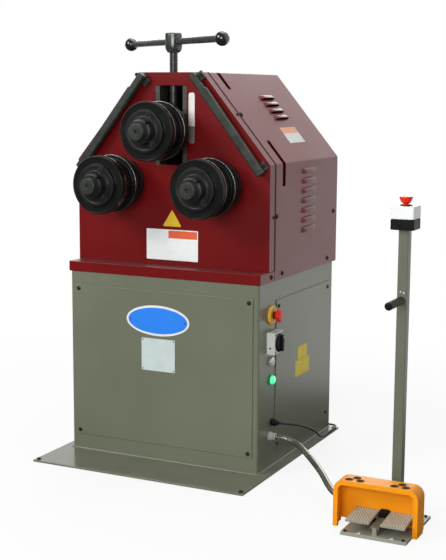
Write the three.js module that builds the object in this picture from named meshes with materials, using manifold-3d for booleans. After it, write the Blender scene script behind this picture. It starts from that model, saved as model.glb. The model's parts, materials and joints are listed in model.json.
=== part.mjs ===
// A ring roller (section bender): a steel cabinet on a floor plate, a head with three shafts and
// rollers, a screw-fed upper slide, a geared drive, and a pedal station on its own stand.
// Millimetres. +X is the machine's right, +Y runs to its back, +Z up.
// The origin is the centre of the floor plate's underside.
import * as THREE from 'three';
import { mergeVertices } from 'three/addons/utils/BufferGeometryUtils.js';
import Module from 'manifold-3d';

const wasm = await Module();
wasm.setup();

// Clearances
const FIT = 0.3;
const RUN = 0.6;
const SEAM = 2;

// Floor plate and cabinet
const PLATE_WIDTH = 730;
const PLATE_DEPTH = 790;
const PLATE_THICK = 6;
const CABINET_WIDTH = 660;
const CABINET_DEPTH = 610;
const CABINET_HEIGHT = 582;
const CABINET_WALL = 3;
const CABINET_CORNER = 7;
const CABINET_FLANGE = 25;
const PANEL_THICK = 2.5;
const PANEL_LAP = 24;
const FRONT_PANEL_MARGIN = 18;
const FRONT_PANEL_LOW = 50;
const FRONT_PANEL_HIGH = 42;
const SIDE_PANEL_FRONT = 127;
const SIDE_PANEL_BACK = 27;
const SIDE_PANEL_LOW = 42;
const SIDE_PANEL_HIGH = 62;

// Head: tray, front plate and covers
const TRAY_HEIGHT = 32;
const TRAY_TOP = 6;
const TRAY_RIM = 30;
const TRAY_FRONT_LIP = 3;
const HEAD_OVERHANG = 5;
const HEAD_SETBACK = 60;
const HEAD_DEPTH = 565;
const HEAD_HEIGHT = 594;
const SHOULDER_HEIGHT = 322;
const HEAD_TOP_WIDTH = 216;
const FRONT_PLATE_THICK = 40;
const COVER_SHEET = 3;
const REAR_COVER_INSET = 3;
const COVER_SLOT_WIDTH = 24;
const COVER_SLOT_BACK = 66;
const COVER_SLOT_TOP_REACH = 33;
const COVER_SLOT_TOP_DROP = 50;
const COVER_SLOT_SIDE_REACH = 58;
const COVER_SLOT_SIDE_RISE = 70;
const COVER_SLOT_SIDE_DROP = 69;
const VENT_HEIGHT = 6;
const SIDE_VENT_COUNT = 7;
const SIDE_VENT_PITCH = 31;
const SIDE_VENT_LENGTH = 118;
const SIDE_VENT_BACK = 249;
const SIDE_VENT_TOP = 34;
const SHOULDER_VENT_COUNT = 4;
const SHOULDER_VENT_PITCH = 27;
const SHOULDER_VENT_LENGTH = 108;
const SHOULDER_VENT_BACK = 278;
const SHOULDER_VENT_TOP = 104;
const REAR_VENT_COUNT = 6;
const REAR_VENT_PITCH = 26;
const REAR_VENT_LENGTH = 90;
const REAR_VENT_SPREAD = 110;
const REAR_VENT_LOW = 300;

// Roller shafts and housings
const LOWER_SPREAD = 336;
const LOWER_HEIGHT = 254;
const UPPER_RISE = 165;
const SHAFT_RADIUS = 25;
const SHAFT_NOSE = 60;
const SHAFT_TAIL = 175;
const COLLAR_RADIUS = 34;
const NOSE_RADIUS = 43;
const NOSE_LENGTH = 45;
const HOUSING_RADIUS = 55;
const HOUSING_TAIL = 95;
const HOUSING_FLANGE_RADIUS = 75;
const HOUSING_FLANGE = 15;

// Rollers
const ROLLER_RADIUS = 89;
const ROLLER_CORE_RADIUS = 76;
const ROLLER_WIDTH = 102;
const ROLLER_FLANGE = 22;
const ROLLER_STAND_OFF = 55;
const ROLLER_CHAMFER = 2.5;
const DISC_RADIUS = 63;
const DISC_THICK = 12;
const DISC_HOLE_RADIUS = 5;
const DISC_HOLE_CIRCLE = 49;
const DISC_HOLE_DEPTH = 7;
const NUT_RADIUS = 36.5;
const NUT_THICK = 28;
const NUT_SLOT_COUNT = 4;
const NUT_SLOT_WIDTH = 8;
const NUT_SLOT_DEPTH = 4;

// Upper slide, its gibs and its screw
const WINDOW_WIDTH = 110;
const WINDOW_LOW = 312;
const WINDOW_BRIDGE = 40;
const GIB_THICK = 15;
const GIB_FLANGE = 15;
const GIB_SET_IN = 2;
const SLIDE_HALF_HEIGHT = 50;
const SLIDE_FLANGE = 9;
const SLIDE_FLANGE_LAP = 12;
const CARRIAGE_HALF_WIDTH = 90;
const CARRIAGE_HALF_HEIGHT = 55;
const CARRIAGE_DEPTH = 55;
const TAIL_COLLAR = 14;
const SCREW_RADIUS = 13;
const SCREW_JOURNAL_RADIUS = 9;
const SCREW_JOURNAL = 25;
const NUT_BUSH_WALL = 4;
const BRIDGE_PAD = 20;
const BRIDGE_PAD_WIDTH = 130;

// T-handle
const HUB_RADIUS = 26;
const HUB_HEIGHT = 59;
const HUB_LIFT = 59;
const HUB_CHAMFER = 9;
const HANDLE_BAR_RADIUS = 10.5;
const HANDLE_REACH = 300;
const HANDLE_TURN = -34.5;
const BALL_RADIUS = 21.5;
const BALL_SOCKET = 13;
const BAR_DROP = 26;

// Guide bars along the head's shoulders
const GUIDE_LENGTH = 372;
const GUIDE_WIDTH = 27;
const GUIDE_THICK = 16;
const GUIDE_STAND_OFF = 16;
const GUIDE_FOOT = 34;
const GUIDE_STEP = 58;
const GUIDE_STEP_CUT = 4;
const GUIDE_RIDGE = 6;
const GUIDE_EAR = 11;
const GUIDE_EAR_LENGTH = 26;
const GUIDE_EAR_THICK = 10;
const GUIDE_INSET_TOP = 21;
const GUIDE_INSET_BOTTOM = 33;
const GUIDE_START = -10;

// Gear train and motor
const GEAR_MODULE = 8;
const GEAR_TEETH = 30;
const PINION_TEETH = 20;
const GEAR_WIDTH = 40;
const GEAR_GAP = 20;
const GEAR_BACKLASH = 1.2;
const PRESSURE_ANGLE = 20;
const GEAR_HUB_RADIUS = 45;
const GEAR_HUB_LENGTH = 8;
const PINION_SHAFT_RADIUS = 20;
const PINION_SHAFT_LENGTH = 58;
const REDUCER_GAP = 30;
const REDUCER_WIDTH = 190;
const REDUCER_DEPTH = 120;
const REDUCER_RISE = 95;
const REDUCER_CHAMFER = 22;
const MOTOR_RADIUS = 76;
const MOTOR_LENGTH = 195;
const MOTOR_FLANGE_RADIUS = 88;
const MOTOR_FLANGE = 12;
const FAN_COWL_RADIUS = 80;
const FAN_COWL_LENGTH = 42;

// Controls on the cabinet's right side
const CONTROL_BACK = 91;
const ESTOP_GAP = 19.5;
const ESTOP_COLLAR_RADIUS = 30;
const ESTOP_COLLAR_THICK = 10;
const ESTOP_STEM_RADIUS = 8.5;
const ESTOP_STEM_INSET = 3;
const ESTOP_HEAD_RADIUS = 20;
const ESTOP_HEAD_THICK = 15;
const ESTOP_HEAD_STAND_OFF = 9;
const ISOLATOR_GAP = 14.5;
const ISOLATOR_SIZE = 67;
const ISOLATOR_DEPTH = 27;
const KNOB_RADIUS = 25;
const KNOB_THICK = 7;
const KNOB_GRIP_WIDTH = 12;
const KNOB_GRIP_HEIGHT = 15;
const KEY_SWITCH_GAP = 28.5;
const KEY_SWITCH_RADIUS = 14;
const KEY_SWITCH_THICK = 11;
const LAMP_GAP = 110.5;
const LAMP_RADIUS = 14.5;
const LAMP_THICK = 15;
const GLAND_BACK = 103;
const GLAND_GAP = 14;
const GLAND_RADIUS = 12;
const GLAND_LENGTH = 24;
const FITTING_BACK = 84;
const FITTING_HEIGHT = 101;
const FITTING_RADIUS = 14;
const FITTING_LENGTH = 24;
const CONTROL_BOX_WIDTH = 80;
const CONTROL_BOX_DEPTH = 150;
const CONTROL_BOX_LOW = 230;
const CONTROL_BOX_HEIGHT = 300;

// Conduit to the pedal station and mains cable
const CONDUIT_RADIUS = 9.5;
const CABLE_RADIUS = 3.5;
const COIL_TURN_GAP = 0.6;
const COIL_LAYERS = 4;
const COIL_TURNS_IN_LAYER = 1.5;
const COIL_OUTER_RADIUS = 46;
const COIL_X = 215;
const COIL_BEHIND_PLATE = 92;
const COIL_STEPS = 24;
const COIL_SIDES = 6;
const COIL_TAIL = 24;
const PLUG_RADIUS = 26;
const PLUG_LENGTH = 96;
const PLUG_SLEEVE = 44;
const PLUG_SLEEVE_RADIUS = 7;
const PLUG_PIN_RADIUS = 3;
const PLUG_PIN_CIRCLE = 13;
const PLUG_WALL = 3;
const PLUG_COLLAR = 38;
const PLUG_COLLAR_STEP = 4;
const PLUG_SHOULDER = 6;
const PLUG_PIN_DEPTH = 34;

// Pedal station
const STATION_X = 813;
const STATION_FRONT = -553;
const BASE_WIDTH = 182;
const BASE_DEPTH = 226;
const BASE_THICK = 8;
const BASE_CHAMFER = 6;
const POST_SIZE = 28;
const POST_INSET = 18;
const POST_HEIGHT = 789;
const POST_CORNER = 2.5;
const BOX_SIZE = 65;
const BOX_BASE_HEIGHT = 29;
const BOX_LID_HEIGHT = 34;
const BOX_CORNER = 5;
const STATION_HEAD_RADIUS = 18;
const STATION_HEAD_THICK = 14;
const STATION_STEM_RADIUS = 8;
const STATION_HEAD_STAND_OFF = 11;
const STATION_STEM_DEPTH = 12;
const GRIP_HEIGHT = 608;
const GRIP_RADIUS = 11;
const GRIP_LENGTH = 117;
const GUARD_OFFSET = -13.6;
const GUARD_INSIDE = 209.4;
const GUARD_RIM = 13;
const GUARD_WALL = 5;
const GUARD_HEIGHT = 131;
const GUARD_DEPTH = 60;
const GUARD_RIM_DEPTH = 12;
const GUARD_FRONT = 53;
const GUARD_CORNER = 28;
const GUARD_FOOT_GAP = 1;
const GUARD_HOLE_RADIUS = 9;
const GUARD_HOLE_INNER = 47;
const GUARD_HOLE_OUTER = 79;
const GUARD_HOLE_FRONT = 17;
const GUARD_HOLE_BACK = 37;
const PEDAL_WIDTH = 67;
const PEDAL_GAP = 30;
const PEDAL_LENGTH = 93.5;
const PEDAL_THICK = 5;
const PEDAL_SKIRT = 9;
const PEDAL_FRONT_HEIGHT = 39;
const PEDAL_REAR_HEIGHT = 47;
const PEDAL_SET_BACK = 13;
const PIVOT_RADIUS = 4;
const PIVOT_HEIGHT = 30;
const PIVOT_BOSS = 8.5;
const PIVOT_FORWARD = 9;
const EAR_THICK = 4;
const RIB_HALF_WIDTH = 6;
const RIB_HEIGHT = 20;
const SWITCH_HOUSING_WIDTH = 156;
const SWITCH_HOUSING_DEPTH = 50;
const SWITCH_HOUSING_HEIGHT = 74;
const SWITCH_BOSS_LENGTH = 14;

// Planes and centres worked out from the sizes above
const cabinetBack = PLATE_DEPTH / 2;
const cabinetFront = cabinetBack - CABINET_DEPTH;
const cabinetSide = CABINET_WIDTH / 2;
const cabinetTop = PLATE_THICK + CABINET_HEIGHT;
const trayTop = cabinetTop + TRAY_HEIGHT;
const headFront = cabinetFront + HEAD_SETBACK;
const headBack = headFront + HEAD_DEPTH;
const headSide = cabinetSide + HEAD_OVERHANG;
const headTop = trayTop + HEAD_HEIGHT;
const shoulderZ = trayTop + SHOULDER_HEIGHT;
const plateBack = headFront + FRONT_PLATE_THICK;
const coverFront = plateBack + SEAM;
const lowerZ = trayTop + LOWER_HEIGHT;
const upperZ = lowerZ + UPPER_RISE;
const lowerX = LOWER_SPREAD / 2;
const rollerBack = headFront - ROLLER_STAND_OFF;
const rollerFront = rollerBack - ROLLER_WIDTH;
const screwY = headFront + FRONT_PLATE_THICK / 2;
const gearFront = plateBack + HOUSING_TAIL + GEAR_GAP;
const gearRadius = (GEAR_MODULE * GEAR_TEETH) / 2;
const pinionRadius = (GEAR_MODULE * PINION_TEETH) / 2;
const pinionZ = lowerZ - Math.sqrt((gearRadius + pinionRadius) ** 2 - lowerX ** 2);
const fittingZ = PLATE_THICK + FITTING_HEIGHT;
const glandZ = fittingZ + FITTING_RADIUS + GLAND_GAP + GLAND_RADIUS;
const lampZ = glandZ + GLAND_RADIUS + LAMP_GAP + LAMP_RADIUS;
const keySwitchZ = lampZ + LAMP_RADIUS + KEY_SWITCH_GAP + KEY_SWITCH_RADIUS;
const isolatorZ = keySwitchZ + KEY_SWITCH_RADIUS + ISOLATOR_GAP + ISOLATOR_SIZE / 2;
const estopZ = isolatorZ + ISOLATOR_SIZE / 2 + ESTOP_GAP + ESTOP_COLLAR_RADIUS;
const guideSlope = Math.atan2(SHOULDER_HEIGHT - HEAD_HEIGHT, headSide - HEAD_TOP_WIDTH / 2);

// Paints and metals
const finish = (color, roughness, metalness) =>
  new THREE.MeshStandardMaterial({ color, roughness, metalness });
const oliveGreen = finish('#6d7260', 0.45, 0.1);
const plateSteel = finish('#565a4e', 0.3, 0.6);
const darkRed = finish('#7a1a1e', 0.35, 0.1);
const blackSteel = finish('#2a2e2d', 0.4, 0.7);
const groundSteel = finish('#8d9190', 0.3, 0.9);
const barSteel = finish('#3d443e', 0.45, 0.6);
const bronze = finish('#8f6d3a', 0.4, 0.8);
const castIron = finish('#4a4d4f', 0.6, 0.4);
const motorGrey = finish('#5c6a74', 0.5, 0.3);
const blackPlastic = finish('#181818', 0.5, 0);
const greyPlastic = finish('#c9ccc8', 0.5, 0);
const whitePlastic = finish('#eceeea', 0.45, 0);
const redPlastic = finish('#d8302a', 0.4, 0);
const yellowPlastic = finish('#d9a62c', 0.45, 0);
const greenLens = finish('#25c878', 0.2, 0);
const zinc = finish('#b9bcb8', 0.35, 0.8);
const conduitGrey = finish('#b3a59a', 0.4, 0.3);
const cableRubber = finish('#141414', 0.6, 0);
const orangePaint = finish('#f0801f', 0.4, 0);
const treadGrey = finish('#95918a', 0.6, 0.5);

const ringRoller = new THREE.Group();

function place(name, geometry, material, parent = ringRoller) {
  const piece = new THREE.Mesh(geometry, material);
  piece.name = name;
  parent.add(piece);
  return piece;
}

function groupAt(x, y, z, parent = ringRoller) {
  const group = new THREE.Group();
  group.position.set(x, y, z);
  parent.add(group);
  return group;
}

// Merges shared corners, drops triangles that shrank to a line and turns the faces outward.
function weld(geometry) {
  geometry.deleteAttribute('normal');
  geometry.deleteAttribute('uv');
  const welded = mergeVertices(geometry, 1e-4);
  const corners = welded.index.array;
  const points = welded.attributes.position;
  const kept = [];
  const a = new THREE.Vector3();
  const b = new THREE.Vector3();
  const c = new THREE.Vector3();
  let volume = 0;
  for (let i = 0; i < corners.length; i += 3) {
    const [p, q, r] = [corners[i], corners[i + 1], corners[i + 2]];
    if (p === q || q === r || r === p) continue;
    kept.push(p, q, r);
    a.fromBufferAttribute(points, p);
    b.fromBufferAttribute(points, q);
    c.fromBufferAttribute(points, r);
    volume += a.dot(b.cross(c));
  }
  if (volume < 0) kept.reverse();
  welded.setIndex(kept);
  return welded;
}

function toSolid(geometry) {
  const welded = weld(geometry);
  return new wasm.Manifold(
    new wasm.Mesh({
      numProp: 3,
      vertProperties: new Float32Array(welded.attributes.position.array),
      triVerts: new Uint32Array(welded.index.array),
    }),
  );
}

function toGeometry(solid) {
  const { vertProperties, triVerts } = solid.getMesh();
  const geometry = new THREE.BufferGeometry();
  geometry.setAttribute('position', new THREE.BufferAttribute(vertProperties, 3));
  geometry.setIndex(new THREE.BufferAttribute(triVerts, 1));
  const flat = geometry.toNonIndexed();
  flat.computeVertexNormals();
  return flat;
}

// Joins the geometries in added to the first, then cuts those in removed away.
function carve(first, removed = [], added = []) {
  let solid = toSolid(first);
  for (const geometry of added) solid = solid.add(toSolid(geometry));
  for (const geometry of removed) solid = solid.subtract(toSolid(geometry));
  return toGeometry(solid);
}

// A block between two opposite corners.
function block([x0, y0, z0], [x1, y1, z1]) {
  const geometry = new THREE.BoxGeometry(x1 - x0, y1 - y0, z1 - z0);
  return geometry.translate((x0 + x1) / 2, (y0 + y1) / 2, (z0 + z1) / 2);
}

// A prism of an outline in X and Z that runs along Y from y0 to y1.
function prismY(outline, y0, y1) {
  const shape = outline instanceof THREE.Shape ? outline : new THREE.Shape(outline);
  const geometry = new THREE.ExtrudeGeometry(shape, { depth: y1 - y0, bevelEnabled: false, curveSegments: 5 });
  return geometry.rotateX(Math.PI / 2).translate(0, y1, 0);
}

// A prism of an outline in X and Y that runs up from z0 to z1.
function prismZ(outline, z0, z1) {
  const shape = outline instanceof THREE.Shape ? outline : new THREE.Shape(outline);
  const geometry = new THREE.ExtrudeGeometry(shape, { depth: z1 - z0, bevelEnabled: false, curveSegments: 3 });
  return geometry.translate(0, 0, z0);
}

// A prism of an outline in Y and Z that runs along X from x0 to x1.
function prismX(outline, x0, x1) {
  const shape = new THREE.Shape(outline);
  const geometry = new THREE.ExtrudeGeometry(shape, { depth: x1 - x0, bevelEnabled: false });
  return geometry.rotateZ(Math.PI / 2).rotateY(Math.PI / 2).translate(x0, 0, 0);
}

const point = (x, y) => new THREE.Vector2(x, y);

function roundedRectangle(x0, y0, x1, y1, radius) {
  const shape = new THREE.Shape();
  shape.moveTo(x0 + radius, y0);
  shape.lineTo(x1 - radius, y0);
  shape.absarc(x1 - radius, y0 + radius, radius, -Math.PI / 2, 0);
  shape.lineTo(x1, y1 - radius);
  shape.absarc(x1 - radius, y1 - radius, radius, 0, Math.PI / 2);
  shape.lineTo(x0 + radius, y1);
  shape.absarc(x0 + radius, y1 - radius, radius, Math.PI / 2, Math.PI);
  shape.lineTo(x0, y0 + radius);
  shape.absarc(x0 + radius, y0 + radius, radius, Math.PI, 1.5 * Math.PI);
  return shape;
}

// A turned piece about Y from [radius, y] pairs, and the same piece stood along Z or X.
function turnedY(profile, sides = 20) {
  return new THREE.LatheGeometry(profile.map(([r, y]) => point(r, y)), sides);
}

const turnedZ = (profile, sides = 20) => turnedY(profile, sides).rotateX(Math.PI / 2);
const turnedX = (profile, sides = 20) => turnedY(profile, sides).rotateZ(-Math.PI / 2);

const rodProfile = (radius, from, to) => [[0, from], [radius, from], [radius, to], [0, to]];

const rodY = (radius, y0, y1, sides = 20) => turnedY(rodProfile(radius, y0, y1), sides);
const rodZ = (radius, z0, z1, sides = 20) => turnedZ(rodProfile(radius, z0, z1), sides);
const rodX = (radius, x0, x1, sides = 20) => turnedX(rodProfile(radius, x0, x1), sides);

// Floor plate, cabinet and its bolted panels
function makeCabinet() {
  const plateX = PLATE_WIDTH / 2;
  place(
    'floor_plate',
    block([-plateX, -PLATE_DEPTH / 2, 0], [plateX, PLATE_DEPTH / 2, PLATE_THICK]),
    plateSteel,
  );

  const shell = (inset) =>
    roundedRectangle(
      -cabinetSide + inset,
      cabinetFront + inset,
      cabinetSide - inset,
      cabinetBack - inset,
      CABINET_CORNER - Math.min(inset, CABINET_WALL),
    );
  const panelX = cabinetSide - FRONT_PANEL_MARGIN;
  const frontLow = PLATE_THICK + FRONT_PANEL_LOW;
  const frontHigh = cabinetTop - FRONT_PANEL_HIGH;
  const sideFront = cabinetFront + SIDE_PANEL_FRONT;
  const sideBack = cabinetBack - SIDE_PANEL_BACK;
  const sideLow = PLATE_THICK + SIDE_PANEL_LOW;
  const sideHigh = cabinetTop - SIDE_PANEL_HIGH;
  const body = carve(prismZ(shell(0), PLATE_THICK, cabinetTop), [
    prismZ(shell(CABINET_WALL), PLATE_THICK + CABINET_WALL, cabinetTop - CABINET_WALL),
    prismZ(shell(CABINET_FLANGE), PLATE_THICK - 1, cabinetTop + 1),
    block(
      [-panelX + PANEL_LAP, cabinetFront - 1, frontLow + PANEL_LAP],
      [panelX - PANEL_LAP, cabinetFront + CABINET_WALL + 1, frontHigh - PANEL_LAP],
    ),
    block(
      [cabinetSide - CABINET_WALL - 1, sideFront + PANEL_LAP, sideLow + PANEL_LAP],
      [cabinetSide + 1, sideBack - PANEL_LAP, sideHigh - PANEL_LAP],
    ),
  ]);
  place('cabinet_body', body, oliveGreen);

  place(
    'front_access_panel',
    block(
      [-panelX, cabinetFront - FIT - PANEL_THICK, frontLow],
      [panelX, cabinetFront - FIT, frontHigh],
    ),
    oliveGreen,
  );
  place(
    'right_access_panel',
    block(
      [cabinetSide + FIT, sideFront, sideLow],
      [cabinetSide + FIT + PANEL_THICK, sideBack, sideHigh],
    ),
    oliveGreen,
  );

  const boxFront = cabinetFront + CABINET_WALL + PANEL_LAP;
  const boxRight = cabinetSide - CABINET_WALL - FIT;
  place(
    'control_box',
    block(
      [boxRight - CONTROL_BOX_WIDTH, boxFront, PLATE_THICK + CONTROL_BOX_LOW],
      [boxRight, boxFront + CONTROL_BOX_DEPTH, PLATE_THICK + CONTROL_BOX_LOW + CONTROL_BOX_HEIGHT],
    ),
    greyPlastic,
  );
}

// The house-shaped outline of the head, drawn in by an inset on its sides, shoulders and top.
function headOutline(inset, low) {
  const slope = Math.atan2(HEAD_HEIGHT - SHOULDER_HEIGHT, headSide - HEAD_TOP_WIDTH / 2);
  const side = headSide - inset;
  const top = headTop - inset;
  const shoulder = shoulderZ - inset * Math.tan((Math.PI / 2 - slope) / 2);
  const halfTop = HEAD_TOP_WIDTH / 2 - inset * Math.tan(slope / 2);
  return [
    point(-side, low),
    point(side, low),
    point(side, shoulder),
    point(halfTop, top),
    point(-halfTop, top),
    point(-side, shoulder),
  ];
}

// Head tray: a shallow lid on the cabinet, narrower where the cover laps over it.
function makeTray() {
  const front = cabinetFront - TRAY_FRONT_LIP;
  const back = headBack - COVER_SHEET - FIT;
  const low = cabinetTop + FIT;
  const lapped = headSide - COVER_SHEET - FIT;
  const tray = carve(
    block([-headSide, front, low], [headSide, plateBack, trayTop]),
    [
      block(
        [-headSide + TRAY_RIM, front + TRAY_RIM, low - 1],
        [headSide - TRAY_RIM, back - TRAY_RIM, trayTop - TRAY_TOP],
      ),
    ],
    [block([-lapped, plateBack - 1, low], [lapped, back, trayTop])],
  );
  place('head_tray', tray, darkRed);
}

function makeFrontPlate() {
  const windowX = WINDOW_WIDTH / 2;
  const windowTop = headTop - WINDOW_BRIDGE;
  const windowLow = trayTop + WINDOW_LOW;
  const nutBore = SCREW_RADIUS + RUN + NUT_BUSH_WALL + FIT;
  const padX = BRIDGE_PAD_WIDTH / 2;
  const boreAt = (x) =>
    rodY(HOUSING_RADIUS + FIT, headFront - 1, plateBack + 1).translate(x, 0, lowerZ);
  const plate = carve(
    prismY(headOutline(0, trayTop + FIT), headFront, plateBack),
    [
      block([-windowX, headFront - 1, windowLow], [windowX, plateBack + 1, windowTop]),
      boreAt(-lowerX),
      boreAt(lowerX),
      rodZ(nutBore, windowTop - 1, headTop + 1, 24).translate(0, screwY, 0),
    ],
    [
      block(
        [-padX, plateBack - 1, windowTop],
        [padX, plateBack + BRIDGE_PAD, headTop - COVER_SHEET - FIT],
      ),
    ],
  );
  place('front_plate', plate, darkRed);

  const gibFront = headFront + GIB_SET_IN;
  for (const side of [-1, 1]) {
    const outline = [
      point(side * (windowX - FIT), gibFront),
      point(side * (windowX - GIB_THICK), gibFront),
      point(side * (windowX - GIB_THICK), plateBack + FIT + GIB_FLANGE),
      point(side * (windowX + GIB_FLANGE), plateBack + FIT + GIB_FLANGE),
      point(side * (windowX + GIB_FLANGE), plateBack + FIT),
      point(side * (windowX - FIT), plateBack + FIT),
    ];
    place(
      side < 0 ? 'left_slide_gib' : 'right_slide_gib',
      weld(prismZ(outline, windowLow + FIT, windowTop - FIT)),
      groundSteel,
    );
  }
}

// Where a point lies that is a distance along the shoulder from its top corner and inset from it.
function onShoulder(side, along, inset) {
  const cos = Math.cos(guideSlope);
  const sin = Math.sin(guideSlope);
  const x = HEAD_TOP_WIDTH / 2 + along * cos + inset * sin;
  const z = headTop + along * sin - inset * cos;
  return [side * x, z];
}

// Cover: folded sheet over the drive, with vent rows and two slots on each shoulder.
function makeCover() {
  const inner = headOutline(COVER_SHEET, cabinetTop - 1);
  const slotY0 = plateBack + COVER_SLOT_BACK - COVER_SLOT_WIDTH / 2;
  const slotY1 = slotY0 + COVER_SLOT_WIDTH;
  const topCorner = HEAD_TOP_WIDTH / 2;
  const cuts = [prismY(inner, coverFront - 1, headBack + 1)];
  for (const side of [-1, 1]) {
    const span = (x0, x1) => [Math.min(side * x0, side * x1), Math.max(side * x0, side * x1)];
    const [topLow, topHigh] = span(topCorner - COVER_SLOT_TOP_REACH, topCorner + COVER_SLOT_TOP_DROP);
    cuts.push(block([topLow, slotY0, headTop - COVER_SLOT_TOP_DROP], [topHigh, slotY1, headTop + 1]));
    const [sideLow, sideHigh] = span(headSide - COVER_SLOT_SIDE_REACH, headSide + 1);
    cuts.push(
      block(
        [sideLow, slotY0, shoulderZ - COVER_SLOT_SIDE_DROP],
        [sideHigh, slotY1, shoulderZ + COVER_SLOT_SIDE_RISE],
      ),
    );
    const [wallLow, wallHigh] = span(headSide - COVER_SHEET - 1, headSide + 1);
    for (let i = 0; i < SIDE_VENT_COUNT; i++) {
      const z = shoulderZ - SIDE_VENT_TOP - i * SIDE_VENT_PITCH;
      const y = headFront + SIDE_VENT_BACK;
      cuts.push(block([wallLow, y, z - VENT_HEIGHT], [wallHigh, y + SIDE_VENT_LENGTH, z]));
    }
    for (let i = 0; i < SHOULDER_VENT_COUNT; i++) {
      const [x, z] = onShoulder(side, SHOULDER_VENT_TOP + i * SHOULDER_VENT_PITCH, COVER_SHEET / 2);
      const y = headFront + SHOULDER_VENT_BACK;
      const vent = block(
        [-COVER_SHEET * 2, y, -VENT_HEIGHT / 2],
        [COVER_SHEET * 2, y + SHOULDER_VENT_LENGTH, VENT_HEIGHT / 2],
      );
      cuts.push(vent.rotateY(side * (Math.PI / 2 + guideSlope) * -1).translate(x, 0, z));
    }
  }
  const cover = carve(prismY(headOutline(0, cabinetTop + FIT), coverFront, headBack), cuts);
  place('head_cover', cover, darkRed);

  const rearY1 = headBack - REAR_COVER_INSET;
  const rearY0 = rearY1 - COVER_SHEET;
  const rearCuts = [];
  for (const side of [-1, 1]) {
    for (let i = 0; i < REAR_VENT_COUNT; i++) {
      const z = trayTop + REAR_VENT_LOW + i * REAR_VENT_PITCH;
      const x = side * REAR_VENT_SPREAD;
      rearCuts.push(
        block(
          [x - REAR_VENT_LENGTH / 2, rearY0 - 1, z],
          [x + REAR_VENT_LENGTH / 2, rearY1 + 1, z + VENT_HEIGHT],
        ),
      );
    }
  }
  place(
    'head_rear_cover',
    carve(prismY(headOutline(COVER_SHEET + FIT, trayTop + FIT), rearY0, rearY1), rearCuts),
    darkRed,
  );
}

// Housing with a bored nose, bolted through the front plate.
function housingGeometry() {
  const bore = SHAFT_RADIUS + RUN;
  const face = headFront - FIT;
  return weld(
    turnedY([
      [bore, face - NOSE_LENGTH],
      [NOSE_RADIUS, face - NOSE_LENGTH],
      [NOSE_RADIUS, face - HOUSING_FLANGE],
      [HOUSING_FLANGE_RADIUS, face - HOUSING_FLANGE],
      [HOUSING_FLANGE_RADIUS, face],
      [HOUSING_RADIUS, face],
      [HOUSING_RADIUS, plateBack + HOUSING_TAIL],
      [bore, plateBack + HOUSING_TAIL],
      [bore, face - NOSE_LENGTH],
    ]),
  );
}

// Shaft: roller seat, collar behind the roller, and a tail that ends at tailY.
function shaftGeometry(tailY, tailCollar) {
  const collarFront = rollerBack + FIT;
  const collarBack = headFront - FIT - NOSE_LENGTH - FIT;
  const chamfer = 2;
  const profile = [
    [0, rollerFront - SHAFT_NOSE],
    [SHAFT_RADIUS - chamfer, rollerFront - SHAFT_NOSE],
    [SHAFT_RADIUS, rollerFront - SHAFT_NOSE + chamfer],
    [SHAFT_RADIUS, collarFront],
    [COLLAR_RADIUS, collarFront],
    [COLLAR_RADIUS, collarBack],
    [SHAFT_RADIUS, collarBack],
  ];
  if (tailCollar > 0) {
    profile.push([SHAFT_RADIUS, tailY - tailCollar], [COLLAR_RADIUS, tailY - tailCollar], [COLLAR_RADIUS, tailY]);
  } else {
    profile.push([SHAFT_RADIUS, tailY]);
  }
  profile.push([0, tailY]);
  return weld(turnedY(profile));
}

function rollerGeometry() {
  const bore = SHAFT_RADIUS + FIT;
  const edge = ROLLER_RADIUS - ROLLER_CHAMFER;
  const flangeBack = rollerFront + ROLLER_FLANGE;
  const flangeFront = rollerBack - ROLLER_FLANGE;
  return weld(
    turnedY(
      [
        [bore, rollerFront],
        [edge, rollerFront],
        [ROLLER_RADIUS, rollerFront + ROLLER_CHAMFER],
        [ROLLER_RADIUS, flangeBack],
        [ROLLER_CORE_RADIUS, flangeBack],
        [ROLLER_CORE_RADIUS, flangeFront],
        [ROLLER_RADIUS, flangeFront],
        [ROLLER_RADIUS, rollerBack - ROLLER_CHAMFER],
        [edge, rollerBack],
        [bore, rollerBack],
        [bore, rollerFront],
      ],
      28,
    ),
  );
}

// Disc that clamps the roller, with three screw wells.
function discGeometry() {
  const back = rollerFront - FIT;
  const front = back - DISC_THICK;
  const bore = SHAFT_RADIUS + FIT;
  const wells = [];
  for (let i = 0; i < 3; i++) {
    const angle = THREE.MathUtils.degToRad(70 + i * 120);
    wells.push(
      rodY(DISC_HOLE_RADIUS, front - 1, front + DISC_HOLE_DEPTH, 8).translate(
        DISC_HOLE_CIRCLE * Math.cos(angle),
        0,
        DISC_HOLE_CIRCLE * Math.sin(angle),
      ),
    );
  }
  const disc = turnedY([
    [bore, front],
    [DISC_RADIUS - 1.5, front],
    [DISC_RADIUS, front + 1.5],
    [DISC_RADIUS, back],
    [bore, back],
    [bore, front],
  ]);
  return carve(disc, wells);
}

// Slotted ring nut on the shaft's thread.
function ringNutGeometry() {
  const back = rollerFront - FIT - DISC_THICK - FIT;
  const front = back - NUT_THICK;
  const bore = SHAFT_RADIUS + FIT;
  const slots = [];
  for (let i = 0; i < NUT_SLOT_COUNT; i++) {
    const slot = block(
      [NUT_RADIUS - NUT_SLOT_DEPTH, front - 1, -NUT_SLOT_WIDTH / 2],
      [NUT_RADIUS + 2, back + 1, NUT_SLOT_WIDTH / 2],
    );
    slots.push(slot.rotateY((i * 2 * Math.PI) / NUT_SLOT_COUNT + Math.PI / 4));
  }
  const nut = turnedY([
    [bore, front],
    [NUT_RADIUS - 2, front],
    [NUT_RADIUS, front + 2],
    [NUT_RADIUS, back],
    [bore, back],
    [bore, front],
  ]);
  return carve(nut, slots);
}

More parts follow.
